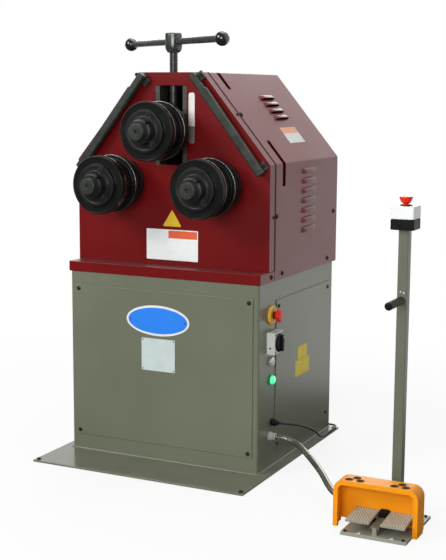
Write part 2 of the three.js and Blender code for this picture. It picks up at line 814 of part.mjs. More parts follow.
// Spur gear outline: each flank is a straight cut from the involute's root to its tip.
function gearOutline(teeth, firstTooth) {
  const pitch = (GEAR_MODULE * teeth) / 2;
  const base = pitch * Math.cos(THREE.MathUtils.degToRad(PRESSURE_ANGLE));
  const root = pitch - 1.25 * GEAR_MODULE;
  const tip = pitch + GEAR_MODULE;
  const involute = (radius) => {
    const pressure = Math.acos(base / radius);
    return Math.tan(pressure) - pressure;
  };
  const halfAtPitch = Math.PI / (2 * teeth) - GEAR_BACKLASH / (2 * pitch);
  const half = (radius) => halfAtPitch + involute(pitch) - involute(Math.max(radius, base));
  const radii = [root, tip];
  const outline = [];
  for (let i = 0; i < teeth; i++) {
    const centre = firstTooth + (i * 2 * Math.PI) / teeth;
    for (const radius of radii) {
      const angle = centre - half(radius);
      outline.push(point(radius * Math.cos(angle), radius * Math.sin(angle)));
    }
    for (const radius of radii.toReversed()) {
      const angle = centre + half(radius);
      outline.push(point(radius * Math.cos(angle), radius * Math.sin(angle)));
    }
  }
  return outline;
}

function gearGeometry(firstTooth) {
  const back = gearFront + GEAR_WIDTH;
  return carve(
    prismY(gearOutline(GEAR_TEETH, firstTooth), gearFront, back),
    [rodY(SHAFT_RADIUS + FIT, gearFront - 30, back + 30)],
    [rodY(GEAR_HUB_RADIUS, gearFront - GEAR_HUB_LENGTH, back + GEAR_HUB_LENGTH)],
  );
}

// The two driven lower rollers, each on its own shaft and in its own housing.
function makeLowerRollers() {
  const tailY = plateBack + SHAFT_TAIL;
  const towardsPinion = Math.atan2(pinionZ - lowerZ, lowerX);
  const pinionPitch = (2 * Math.PI) / PINION_TEETH;
  // The pinion has a gap facing the left gear; the right gear's tooth is turned to meet it.
  const facingLeft = Math.PI + towardsPinion;
  const facingRight = -towardsPinion;
  const gapsBetween = (facingLeft - facingRight) / pinionPitch;
  const pinionLag = (gapsBetween - Math.round(gapsBetween)) * pinionPitch;
  const rightTooth = Math.PI - towardsPinion - (pinionLag * PINION_TEETH) / GEAR_TEETH;
  for (const [name, x, firstTooth] of [
    ['left', -lowerX, towardsPinion],
    ['right', lowerX, rightTooth],
  ]) {
    const station = groupAt(x, 0, lowerZ);
    place(`lower_${name}_housing`, housingGeometry(), castIron, station);
    place(`lower_${name}_shaft`, shaftGeometry(tailY, 0), groundSteel, station);
    place(`lower_${name}_roller`, rollerGeometry(), blackSteel, station);
    place(`lower_${name}_disc`, discGeometry(), blackSteel, station);
    place(`lower_${name}_ring_nut`, ringNutGeometry(), blackSteel, station);
    place(`lower_${name}_gear`, gearGeometry(firstTooth), castIron, station);
  }
}

// Upper slide: a front flange, a neck between the gibs and a carriage behind them.
function makeUpperSlide() {
  const neckX = WINDOW_WIDTH / 2 - GIB_THICK - FIT;
  const flangeX = neckX + SLIDE_FLANGE_LAP;
  const flangeBack = headFront + GIB_SET_IN - FIT;
  const flangeFront = flangeBack - SLIDE_FLANGE;
  const carriageFront = plateBack + FIT + GIB_FLANGE + FIT;
  const carriageBack = carriageFront + CARRIAGE_DEPTH;
  const noseFront = headFront - FIT - NOSE_LENGTH;
  const station = groupAt(0, 0, upperZ);
  const neck = SLIDE_HALF_HEIGHT;
  const slide = carve(
    block([-neckX, flangeFront, -neck], [neckX, carriageFront + 1, neck]),
    [
      rodY(SHAFT_RADIUS + RUN, noseFront - 1, carriageBack + 1),
      rodZ(SCREW_JOURNAL_RADIUS + RUN, neck - SCREW_JOURNAL - 1, neck + 1, 20).translate(0, screwY, 0),
    ],
    [
      block([-flangeX, flangeFront, -neck], [flangeX, flangeBack, neck]),
      block(
        [-CARRIAGE_HALF_WIDTH, carriageFront, -CARRIAGE_HALF_HEIGHT],
        [CARRIAGE_HALF_WIDTH, carriageBack, CARRIAGE_HALF_HEIGHT],
      ),
      rodY(NOSE_RADIUS, noseFront, flangeFront + 1),
    ],
  );
  place('upper_slide', slide, castIron, station);
  const tailY = carriageBack + FIT + TAIL_COLLAR;
  place('upper_shaft', shaftGeometry(tailY, TAIL_COLLAR), groundSteel, station);
  place('upper_roller', rollerGeometry(), blackSteel, station);
  place('upper_disc', discGeometry(), blackSteel, station);
  place('upper_ring_nut', ringNutGeometry(), blackSteel, station);
}

// Feed screw with its nut in the bridge, and the T-handle on top.
function makeFeedScrew() {
  const slideTop = upperZ + SLIDE_HALF_HEIGHT;
  const hubLow = headTop + HUB_LIFT;
  const hubTop = hubLow + HUB_HEIGHT;
  const barZ = hubTop - BAR_DROP;
  const screwTop = barZ - HANDLE_BAR_RADIUS - FIT - 4;
  const axis = groupAt(0, screwY, 0);
  place(
    'feed_screw',
    weld(
      turnedZ([
        [0, slideTop - SCREW_JOURNAL],
        [SCREW_JOURNAL_RADIUS, slideTop - SCREW_JOURNAL],
        [SCREW_JOURNAL_RADIUS, slideTop + FIT],
        [SCREW_RADIUS, slideTop + FIT],
        [SCREW_RADIUS, screwTop],
        [0, screwTop],
      ]),
    ),
    groundSteel,
    axis,
  );
  const bushBore = SCREW_RADIUS + RUN;
  const bushOuter = bushBore + NUT_BUSH_WALL;
  const bushLow = headTop - WINDOW_BRIDGE + FIT;
  place(
    'feed_nut',
    weld(
      turnedZ(
        [
          [bushBore, bushLow],
          [bushOuter, bushLow],
          [bushOuter, headTop],
          [bushBore, headTop],
          [bushBore, bushLow],
        ],
        24,
      ),
    ),
    bronze,
    axis,
  );

  const hub = carve(
    turnedZ([
      [0, hubLow],
      [HUB_RADIUS - HUB_CHAMFER / 2, hubLow],
      [HUB_RADIUS, hubLow + HUB_CHAMFER],
      [HUB_RADIUS, hubTop - 2],
      [HUB_RADIUS - 2, hubTop],
      [0, hubTop],
    ]),
    [
      rodZ(SCREW_RADIUS + FIT, hubLow - 1, screwTop + FIT),
      rodX(HANDLE_BAR_RADIUS + FIT, -HUB_RADIUS - 1, HUB_RADIUS + 1).translate(0, 0, barZ),
    ],
  );
  const handle = groupAt(0, 0, 0, axis);
  handle.rotation.z = THREE.MathUtils.degToRad(HANDLE_TURN);
  place('handle_hub', hub, blackSteel, handle);
  const bar = groupAt(0, 0, barZ, handle);
  const barEnd = HANDLE_REACH - BALL_RADIUS + BALL_SOCKET;
  place('handle_bar', weld(rodX(HANDLE_BAR_RADIUS, -barEnd, barEnd)), blackSteel, bar);
  for (const side of [-1, 1]) {
    const profile = [];
    const mouth = HANDLE_BAR_RADIUS + FIT;
    const mouthAngle = Math.asin(mouth / BALL_RADIUS);
    const steps = 7;
    const floor = -BALL_RADIUS + BALL_SOCKET + FIT;
    profile.push([0, floor], [mouth, floor]);
    for (let i = 0; i <= steps; i++) {
      const angle = mouthAngle + ((Math.PI - mouthAngle) * i) / steps;
      profile.push([BALL_RADIUS * Math.sin(angle), -BALL_RADIUS * Math.cos(angle)]);
    }
    profile[profile.length - 1][0] = 0;
    const ball = weld(turnedX(profile, 16));
    const knob = place(side < 0 ? 'left_ball_knob' : 'right_ball_knob', ball, blackPlastic, bar);
    knob.position.x = side * HANDLE_REACH;
    if (side < 0) knob.rotation.z = Math.PI;
  }
}

// Guide bars: one part used on both shoulders, so the ears face the same way.
function makeGuideBars() {
  const half = GUIDE_WIDTH / 2;
  const back = headFront - FIT;
  const face = back - GUIDE_STAND_OFF - GUIDE_THICK;
  const ridge = [
    point(0, half - GUIDE_STEP_CUT),
    point(0, -half),
    point(GUIDE_LENGTH, -half),
    point(GUIDE_LENGTH, half),
    point(GUIDE_STEP, half),
    point(GUIDE_STEP, half - GUIDE_STEP_CUT),
  ];
  for (const side of [-1, 1]) {
    const [topX, topZ] = onShoulder(1, GUIDE_START, GUIDE_INSET_TOP);
    const [endX, endZ] = onShoulder(1, GUIDE_START + GUIDE_LENGTH, GUIDE_INSET_BOTTOM);
    const slope = Math.atan2(endZ - topZ, endX - topX);
    const earOut = side > 0 ? 1 : -1;
    const ears = [];
    for (const start of [4, GUIDE_LENGTH - GUIDE_EAR_LENGTH - 4]) {
      const [z0, z1] = earOut > 0 ? [0, half + GUIDE_EAR] : [-half - GUIDE_EAR, 0];
      ears.push(block([start, back - GUIDE_EAR_THICK, z0], [start + GUIDE_EAR_LENGTH, back, z1]));
    }
    const feet = [0, GUIDE_LENGTH - GUIDE_FOOT].map((start) =>
      block(
        [start, face + GUIDE_THICK - 1, -half + 2],
        [start + GUIDE_FOOT, back, half - GUIDE_STEP_CUT - 2],
      ),
    );
    const bevel = prismX(
      [
        point(face - 1, -half - 1),
        point(face + GUIDE_RIDGE, -half - 1),
        point(face - 1, -half + GUIDE_RIDGE),
      ],
      -1,
      GUIDE_LENGTH + 1,
    );
    const bar = carve(prismY(ridge, face, face + GUIDE_THICK), [bevel], [...feet, ...ears]);
    if (side < 0) bar.scale(1, 1, -1);
    const piece = place(side < 0 ? 'left_guide_bar' : 'right_guide_bar', weld(bar), barSteel);
    piece.position.set(side * topX, 0, topZ);
    piece.rotation.y = side > 0 ? -slope : Math.PI + slope;
  }
}

// Pinion on its shaft, worm reducer on the tray, and the motor behind it.
function makeDrive() {
  const axis = groupAt(0, 0, pinionZ);
  const back = gearFront + GEAR_WIDTH;
  const towardsPinion = Math.atan2(pinionZ - lowerZ, lowerX);
  const firstTooth = Math.PI + towardsPinion + Math.PI / PINION_TEETH;
  const shaftEnd = back + REDUCER_GAP + PINION_SHAFT_LENGTH;
  place(
    'drive_pinion',
    carve(
      prismY(gearOutline(PINION_TEETH, firstTooth), gearFront, back),
      [],
      [rodY(PINION_SHAFT_RADIUS, back - 1, shaftEnd)],
    ),
    groundSteel,
    axis,
  );

  const reducerFront = back + REDUCER_GAP;
  const reducerBack = reducerFront + REDUCER_DEPTH;
  const halfWidth = REDUCER_WIDTH / 2;
  const low = trayTop + FIT - pinionZ;
  const outline = [
    point(-halfWidth, low),
    point(halfWidth, low),
    point(halfWidth, REDUCER_RISE - REDUCER_CHAMFER),
    point(halfWidth - REDUCER_CHAMFER, REDUCER_RISE),
    point(-halfWidth + REDUCER_CHAMFER, REDUCER_RISE),
    point(-halfWidth, REDUCER_RISE - REDUCER_CHAMFER),
  ];
  const boreEnd = shaftEnd + FIT;
  place(
    'gear_reducer',
    carve(prismY(outline, reducerFront, reducerBack), [
      rodY(PINION_SHAFT_RADIUS + RUN, reducerFront - 1, boreEnd, 24),
    ]),
    motorGrey,
    axis,
  );

  const flangeFront = reducerBack + FIT;
  const bodyFront = flangeFront + MOTOR_FLANGE;
  const cowlFront = bodyFront + MOTOR_LENGTH - FAN_COWL_LENGTH;
  const motorBack = bodyFront + MOTOR_LENGTH;
  place(
    'drive_motor',
    weld(
      turnedY(
        [
          [0, flangeFront],
          [MOTOR_FLANGE_RADIUS, flangeFront],
          [MOTOR_FLANGE_RADIUS, bodyFront],
          [MOTOR_RADIUS, bodyFront],
          [MOTOR_RADIUS, cowlFront],
          [FAN_COWL_RADIUS, cowlFront],
          [FAN_COWL_RADIUS, motorBack - 8],
          [FAN_COWL_RADIUS - 8, motorBack],
          [0, motorBack],
        ],
        20,
      ),
    ),
    motorGrey,
    axis,
  );
}

// Controls in a column on the cabinet's right side, and the two cable outlets below them.
function makeControls() {
  const wall = cabinetSide + FIT;
  const controlY = cabinetFront + CONTROL_BACK;

  const estop = groupAt(wall, controlY, estopZ);
  const stemBore = ESTOP_STEM_RADIUS + RUN;
  place(
    'estop_collar',
    weld(
      turnedX([
        [0, 0],
        [ESTOP_COLLAR_RADIUS, 0],
        [ESTOP_COLLAR_RADIUS, ESTOP_COLLAR_THICK - 3],
        [ESTOP_COLLAR_RADIUS - 4, ESTOP_COLLAR_THICK],
        [stemBore, ESTOP_COLLAR_THICK],
        [stemBore, 2],
        [0, 2],
      ]),
    ),
    yellowPlastic,
    estop,
  );
  const headLow = ESTOP_COLLAR_THICK + ESTOP_HEAD_STAND_OFF;
  place(
    'estop_button',
    weld(
      turnedX([
        [0, 2 + FIT + ESTOP_STEM_INSET + 2],
        [ESTOP_STEM_RADIUS, 2 + FIT + ESTOP_STEM_INSET + 2],
        [ESTOP_STEM_RADIUS, headLow],
        [ESTOP_HEAD_RADIUS - 3, headLow],
        [ESTOP_HEAD_RADIUS, headLow + 3],
        [ESTOP_HEAD_RADIUS, headLow + ESTOP_HEAD_THICK - 5],
        [ESTOP_HEAD_RADIUS - 4, headLow + ESTOP_HEAD_THICK - 1],
        [0, headLow + ESTOP_HEAD_THICK],
      ]),
    ),
    redPlastic,
    estop,
  );

  const isolator = groupAt(wall, controlY, isolatorZ);
  const halfSize = ISOLATOR_SIZE / 2;
  const spigot = 6;
  place(
    'isolator_box',
    carve(block([0, -halfSize, -halfSize], [ISOLATOR_DEPTH, halfSize, halfSize]), [
      rodX(spigot + RUN, ISOLATOR_DEPTH - 8, ISOLATOR_DEPTH + 1, 20),
    ]),
    greyPlastic,
    isolator,
  );
  const knobBase = ISOLATOR_DEPTH + FIT;
  place(
    'isolator_knob',
    carve(
      turnedX([
        [0, ISOLATOR_DEPTH - 7],
        [spigot, ISOLATOR_DEPTH - 7],
        [spigot, knobBase],
        [KNOB_RADIUS, knobBase],
        [KNOB_RADIUS, knobBase + KNOB_THICK - 2],
        [KNOB_RADIUS - 2, knobBase + KNOB_THICK],
        [0, knobBase + KNOB_THICK],
      ]),
      [],
      [
        block(
          [knobBase + KNOB_THICK - 1, -KNOB_GRIP_WIDTH / 2, -KNOB_RADIUS + 2],
          [knobBase + KNOB_GRIP_HEIGHT, KNOB_GRIP_WIDTH / 2, KNOB_RADIUS - 2],
        ),
      ],
    ),
    blackPlastic,
    isolator,
  );

  const keySwitch = groupAt(wall, controlY, keySwitchZ);
  place(
    'key_switch',
    carve(
      turnedX([
        [0, 0],
        [KEY_SWITCH_RADIUS, 0],
        [KEY_SWITCH_RADIUS, KEY_SWITCH_THICK - 4],
        [KEY_SWITCH_RADIUS - 4, KEY_SWITCH_THICK],
        [0, KEY_SWITCH_THICK],
      ]),
      [block([KEY_SWITCH_THICK - 5, -1.5, -6], [KEY_SWITCH_THICK + 1, 1.5, 6])],
    ),
    zinc,
    keySwitch,
  );

  const lamp = groupAt(wall, controlY, lampZ);
  place(
    'power_lamp',
    weld(
      turnedX([
        [0, 0],
        [LAMP_RADIUS, 0],
        [LAMP_RADIUS, LAMP_THICK - 8],
        [LAMP_RADIUS - 3, LAMP_THICK - 3],
        [0, LAMP_THICK],
      ]),
    ),
    greenLens,
    lamp,
  );

  const gland = groupAt(wall, cabinetFront + GLAND_BACK, glandZ);
  place(
    'cable_gland',
    weld(
      turnedX(
        [
          [0, 0],
          [GLAND_RADIUS, 0],
          [GLAND_RADIUS, GLAND_LENGTH * 0.6],
          [CABLE_RADIUS + 3, GLAND_LENGTH],
          [0, GLAND_LENGTH],
        ],
        18,
      ),
    ),
    blackPlastic,
    gland,
  );

  const fitting = groupAt(wall, cabinetFront + FITTING_BACK, fittingZ);
  place(
    'conduit_fitting',
    weld(
      turnedX(
        [
          [0, 0],
          [FITTING_RADIUS, 0],
          [FITTING_RADIUS, 9],
          [FITTING_RADIUS - 2, 9],
          [FITTING_RADIUS - 2, FITTING_LENGTH],
          [0, FITTING_LENGTH],
        ],
        18,
      ),
    ),
    zinc,
    fitting,
  );
}

// A tube along a smooth curve through hand-chosen points.
function tube(points, radius, sides, steps) {
  const curve = new THREE.CatmullRomCurve3(points.map((p) => new THREE.Vector3(...p)), false, 'centripetal');
  const section = new THREE.Shape();
  for (let i = 0; i < sides; i++) {
    const angle = (2 * Math.PI * i) / sides;
    const [x, y] = [radius * Math.cos(angle), radius * Math.sin(angle)];
    if (i === 0) section.moveTo(x, y);
    else section.lineTo(x, y);
  }
  return weld(new THREE.ExtrudeGeometry(section, { steps, extrudePath: curve, bevelEnabled: false }));
}

// Conduit: out of the cabinet, over in a low arch and into the pedal station's switch housing.
function makeConduit() {
  const start = [
    cabinetSide + FIT + FITTING_LENGTH + FIT,
    cabinetFront + FITTING_BACK,
    fittingZ,
  ];
  const end = conduitEntry();
  const route = [
    start,
    [start[0] + 20, start[1], start[2]],
    [403.4, -137, 104.6],
    [434, -153, 100.6],
    [462.3, -178.6, 96],
    [489.7, -207.9, 91.2],
    [516.8, -238, 86.1],
    [543.4, -268.3, 80.8],
    [569, -299.4, 75.2],
    [593.3, -331.6, 69.5],
    [616.5, -364, 63.5],
    [641.9, -391.7, 57.4],
    [671.6, -408.4, 52],
    [end[0] - 20, end[1], end[2]],
    end,
  ];
  place('pedal_conduit', tube(route, CONDUIT_RADIUS, 10, 18), conduitGrey);
}

// Mains cable, its storage coil behind the machine and its plug.
function makeMainsCable() {
  const coilY = PLATE_DEPTH / 2 + COIL_BEHIND_PLATE;
  const top = coilY + COIL_OUTER_RADIUS;
  const low = CABLE_RADIUS;
  const start = [
    cabinetSide + FIT + GLAND_LENGTH + FIT,
    cabinetFront + GLAND_BACK,
    glandZ,
  ];
  const entry = COIL_X + 2 * CABLE_RADIUS + FIT;
  const onPlate = PLATE_THICK + FIT + low;
  const route = [
    start,
    [start[0] + 10, start[1], start[2]],
    [389.6, -100.6, 144.9],
    [413.8, -77.2, 137.2],
    [428.4, -45.7, 123.9],
    [431.5, -10.5, 106.9],
    [426.6, 26.4, 89.2],
    [417.7, 64.2, 72.5],
    [407.2, 102.8, 57.3],
    [396, 142.1, 43.6],
    [384.8, 182.5, 31.6],
    [374.3, 223.3, 21.6],
    [365.5, 261.4, 14.1],
    [360, 290, onPlate],
    [360, 345, onPlate],
    [359, 374, onPlate],
    [352, 396, onPlate],
    [337, 412, 7],
    [318, 424, 4],
    [303, 438, low],
    [285, 469, low],
    [270, 495, low],
    [entry + 35.5, top - 17, low],
    [entry + 28, top - 8, low],
    [entry + 17.7, top - 2, low],
    [entry + 6.1, top, low],
    [entry, top, low],
  ];
  place('mains_cable', tube(route, CABLE_RADIUS, 8, 54), cableRubber);

  const turns = COIL_LAYERS * COIL_TURNS_IN_LAYER;
  const pitch = 2 * CABLE_RADIUS + COIL_TURN_GAP;
  const path = [new THREE.Vector3(COIL_X + 2 * CABLE_RADIUS, top, low)];
  const ease = (t) => t * t * (3 - 2 * t);
  for (let i = 0; i <= turns * COIL_STEPS; i++) {
    const t = i / COIL_STEPS;
    const within = t % (2 * COIL_TURNS_IN_LAYER);
    const inward = Math.min(within, 2 * COIL_TURNS_IN_LAYER - within);
    const radius = COIL_OUTER_RADIUS - inward * pitch;
    let height = 0;
    for (let layer = 1; layer < COIL_LAYERS; layer++) {
      const climb = (t - layer * COIL_TURNS_IN_LAYER) / 0.5 + 0.5;
      height += pitch * ease(Math.min(Math.max(climb, 0), 1));
    }
    const angle = Math.PI / 2 + 2 * Math.PI * t;
    path.push(
      new THREE.Vector3(COIL_X + radius * Math.cos(angle), coilY + radius * Math.sin(angle), low + height),
    );
  }
  const topZ = low + (COIL_LAYERS - 1) * pitch;
  path.push(new THREE.Vector3(COIL_X - COIL_TAIL, top, topZ));
  place('mains_coil', sweepRings(path, CABLE_RADIUS, COIL_SIDES), cableRubber);
  console.log('coil gap to itself, mm:', coilGap(path, CABLE_RADIUS).toFixed(2));

  const plug = groupAt(COIL_X - COIL_TAIL - FIT, top, topZ);
  const sleeve = PLUG_SLEEVE;
  const end = sleeve + PLUG_LENGTH;
  const pins = [];
  for (let i = 0; i < 3; i++) {
    const angle = THREE.MathUtils.degToRad(90 + i * 120);
    pins.push(
      rodX(PLUG_PIN_RADIUS, end - PLUG_PIN_DEPTH - 1, end - 4, 8).translate(
        0,
        PLUG_PIN_CIRCLE * Math.cos(angle),
        PLUG_PIN_CIRCLE * Math.sin(angle),
      ),
    );
  }
  const plugRadius = topZ;
  const body = carve(
    turnedX([
      [0, 0],
      [CABLE_RADIUS + 1.5, 0],
      [PLUG_SLEEVE_RADIUS, sleeve],
      [plugRadius - PLUG_SHOULDER, sleeve + PLUG_SHOULDER],
      [plugRadius - PLUG_COLLAR_STEP, end - PLUG_COLLAR - PLUG_COLLAR_STEP],
      [plugRadius, end - PLUG_COLLAR],
      [plugRadius, end],
      [plugRadius - PLUG_WALL, end],
      [plugRadius - PLUG_WALL, end - PLUG_PIN_DEPTH],
      [0, end - PLUG_PIN_DEPTH],
    ]),
    [],
    pins,
  );
  const piece = place('mains_plug', body, blackPlastic, plug);
  piece.rotation.z = Math.PI;
}

// Rings of points carried along a mostly level path, closed at both ends.
function sweepRings(path, radius, sides) {
  const up = new THREE.Vector3(0, 0, 1);
  const positions = [];
  const index = [];
  path.forEach((centre, i) => {
    const ahead = path[Math.min(i + 1, path.length - 1)];
    const behind = path[Math.max(i - 1, 0)];
    const along = ahead.clone().sub(behind).normalize();
    const across = along.clone().cross(up).normalize();
    const over = across.clone().cross(along);
    for (let k = 0; k < sides; k++) {
      const angle = (2 * Math.PI * k) / sides;
      const spot = centre.clone().addScaledVector(across, radius * Math.cos(angle));
      spot.addScaledVector(over, radius * Math.sin(angle));
      positions.push(spot.x, spot.y, spot.z);
    }
  });
  const last = path.length - 1;
  for (let i = 0; i < last; i++) {
    for (let k = 0; k < sides; k++) {
      const a = i * sides + k;
      const b = i * sides + ((k + 1) % sides);
      index.push(a, b, a + sides, b, b + sides, a + sides);
    }
  }
  for (let k = 1; k < sides - 1; k++) {
    index.push(0, k + 1, k, last * sides, last * sides + k, last * sides + k + 1);
  }
  const geometry = new THREE.BufferGeometry();
  geometry.setAttribute('position', new THREE.Float32BufferAttribute(positions, 3));
  geometry.setIndex(index);
  return weld(geometry);
}

// Least gap between stretches of the coil that are more than half a turn apart.
function coilGap(path, radius) {
  let least = Infinity;
  for (let i = 0; i < path.length; i++) {
    for (let j = i + COIL_STEPS / 2; j < path.length; j++) {
      least = Math.min(least, path[i].distanceTo(path[j]) - 2 * radius);
    }
  }
  return least;
}

// The switch housing stands on the base plate, behind the guard.
function switchHousing() {
  const front = STATION_FRONT + GUARD_FRONT + GUARD_DEPTH + FIT;
  return {
    left: STATION_X - SWITCH_HOUSING_WIDTH / 2,
    right: STATION_X + SWITCH_HOUSING_WIDTH / 2,
    front,
    back: front + SWITCH_HOUSING_DEPTH,
  };
}

function conduitEntry() {
  const housing = switchHousing();
  return [
    housing.left - SWITCH_BOSS_LENGTH - FIT,
    (housing.front + housing.back) / 2,
    BASE_THICK + SWITCH_HOUSING_HEIGHT * 0.55,
  ];
}

function makePedals() {
  const halfBase = BASE_WIDTH / 2;
  const guardBack = STATION_FRONT + GUARD_FRONT + GUARD_DEPTH;
  const pivotY = guardBack - GUARD_WALL - PIVOT_FORWARD;
  const pedalInner = PEDAL_GAP / 2;
  const pedalOuter = pedalInner + PEDAL_WIDTH;
  const housing = switchHousing();
  const [entryX, entryY, entryZ] = conduitEntry();
  const earFront = pivotY - PIVOT_BOSS;
  const earBack = pivotY + PIVOT_BOSS;
  const earTop = PIVOT_HEIGHT + PIVOT_BOSS;
  const ears = [-1, 1].map((side) => {
    const inner = STATION_X + side * (pedalOuter + RUN);
    const outer = inner + side * EAR_THICK;
    return block(
      [Math.min(inner, outer), earFront, BASE_THICK - 1],
      [Math.max(inner, outer), earBack, earTop],
    );
  });
  const sideProfile = [
    point(STATION_FRONT, 0),
    point(STATION_FRONT + BASE_DEPTH, 0),
    point(STATION_FRONT + BASE_DEPTH, BASE_THICK),
    point(STATION_FRONT + BASE_CHAMFER, BASE_THICK),
    point(STATION_FRONT, BASE_THICK - BASE_CHAMFER),
  ];
  const base = carve(
    prismX(sideProfile, STATION_X - halfBase, STATION_X + halfBase),
    [],
    [
      ...ears,
      block(
        [STATION_X - RIB_HALF_WIDTH, STATION_FRONT + PEDAL_SET_BACK, BASE_THICK - 1],
        [STATION_X + RIB_HALF_WIDTH, earBack, BASE_THICK + RIB_HEIGHT],
      ),
      block(
        [STATION_X - RIB_HALF_WIDTH, earFront, BASE_THICK - 1],
        [STATION_X + RIB_HALF_WIDTH, earBack, earTop],
      ),
      rodX(PIVOT_RADIUS, STATION_X - pedalOuter - RUN - 1, STATION_X + pedalOuter + RUN + 1, 20)
        .translate(0, pivotY, PIVOT_HEIGHT),
      block(
        [housing.left, housing.front, BASE_THICK - 1],
        [housing.right, housing.back, BASE_THICK + SWITCH_HOUSING_HEIGHT],
      ),
      rodX(FITTING_RADIUS, entryX + FIT, housing.left + 1, 20).translate(0, entryY, entryZ),
    ],
  );
  place('pedal_base', base, treadGrey);

  const pedalFront = STATION_FRONT + PEDAL_SET_BACK;
  const pedalBack = pedalFront + PEDAL_LENGTH;
  const treadle = [
    point(pedalFront, PEDAL_FRONT_HEIGHT),
    point(pedalFront, PEDAL_FRONT_HEIGHT - PEDAL_THICK),
    point(pedalBack, PEDAL_REAR_HEIGHT - PEDAL_THICK),
    point(pedalBack, PEDAL_REAR_HEIGHT),
  ];
  const skirt = [
    point(pivotY - PIVOT_BOSS * 2.4, PEDAL_REAR_HEIGHT - PEDAL_THICK),
    point(pivotY - PIVOT_BOSS * 0.8, PIVOT_HEIGHT - PIVOT_BOSS * 0.6),
    point(pivotY + PIVOT_BOSS * 0.7, PIVOT_HEIGHT - PIVOT_BOSS * 0.6),
    point(pivotY + PIVOT_BOSS * 0.7, PEDAL_REAR_HEIGHT - PEDAL_THICK),
  ];
  for (const side of [-1, 1]) {
    const inner = STATION_X + side * pedalInner;
    const outer = STATION_X + side * pedalOuter;
    const x0 = Math.min(inner, outer);
    const x1 = Math.max(inner, outer);
    const pedal = carve(
      prismX(treadle, x0, x1),
      [rodX(PIVOT_RADIUS + RUN, x0 - 1, x1 + 1, 20).translate(0, pivotY, PIVOT_HEIGHT)],
      [
        prismX(skirt, x0, x0 + PEDAL_SKIRT),
        prismX(skirt, x1 - PEDAL_SKIRT, x1),
      ],
    );
    place(side < 0 ? 'left_pedal' : 'right_pedal', pedal, treadGrey);
  }
}

// Guard outline: two legs and a top with rounded corners, open at the bottom.
function guardOutline(halfWidth, top, low, corner) {
  const shape = new THREE.Shape();
  shape.moveTo(-halfWidth, low);
  shape.lineTo(halfWidth, low);
  shape.lineTo(halfWidth, top - corner);
  shape.absarc(halfWidth - corner, top - corner, corner, 0, Math.PI / 2);
  shape.lineTo(-halfWidth + corner, top);
  shape.absarc(-halfWidth + corner, top - corner, corner, Math.PI / 2, Math.PI);
  return shape;
}

function makeGuard() {
  const centre = STATION_X + GUARD_OFFSET;
  const half = GUARD_INSIDE / 2 + GUARD_RIM;
  const front = STATION_FRONT + GUARD_FRONT;
  const back = front + GUARD_DEPTH;
  const wallHalf = half - GUARD_WALL;
  const rimHalf = GUARD_INSIDE / 2;
  const holes = [];
  for (const side of [-1, 1]) {
    for (const [x, y] of [
      [GUARD_HOLE_INNER, GUARD_HOLE_FRONT],
      [GUARD_HOLE_OUTER, GUARD_HOLE_FRONT],
      [(GUARD_HOLE_INNER + GUARD_HOLE_OUTER) / 2, GUARD_HOLE_BACK],
    ]) {
      const hole = rodZ(GUARD_HOLE_RADIUS, GUARD_HEIGHT - 20, GUARD_HEIGHT + 1, 10);
      holes.push(hole.translate(side * x, front + y, 0));
    }
  }
  const guard = carve(
    prismY(guardOutline(half, GUARD_HEIGHT, GUARD_FOOT_GAP, GUARD_CORNER), front, back),
    [
      prismY(
        guardOutline(rimHalf, GUARD_HEIGHT - GUARD_RIM, GUARD_FOOT_GAP - 1, GUARD_CORNER - GUARD_RIM),
        front - 1,
        front + GUARD_RIM_DEPTH,
      ),
      prismY(
        guardOutline(wallHalf, GUARD_HEIGHT - GUARD_WALL, GUARD_FOOT_GAP - 1, GUARD_CORNER - GUARD_WALL),
        front + GUARD_RIM_DEPTH - 0.01,
        back - GUARD_WALL,
      ),
      block([-half - 1, back - GUARD_WALL - 1, GUARD_FOOT_GAP - 1], [half + 1, back + 1, BASE_THICK + FIT]),
      ...holes,
    ],
  );
  place('pedal_guard', guard, orangePaint, groupAt(centre, 0, 0));
}

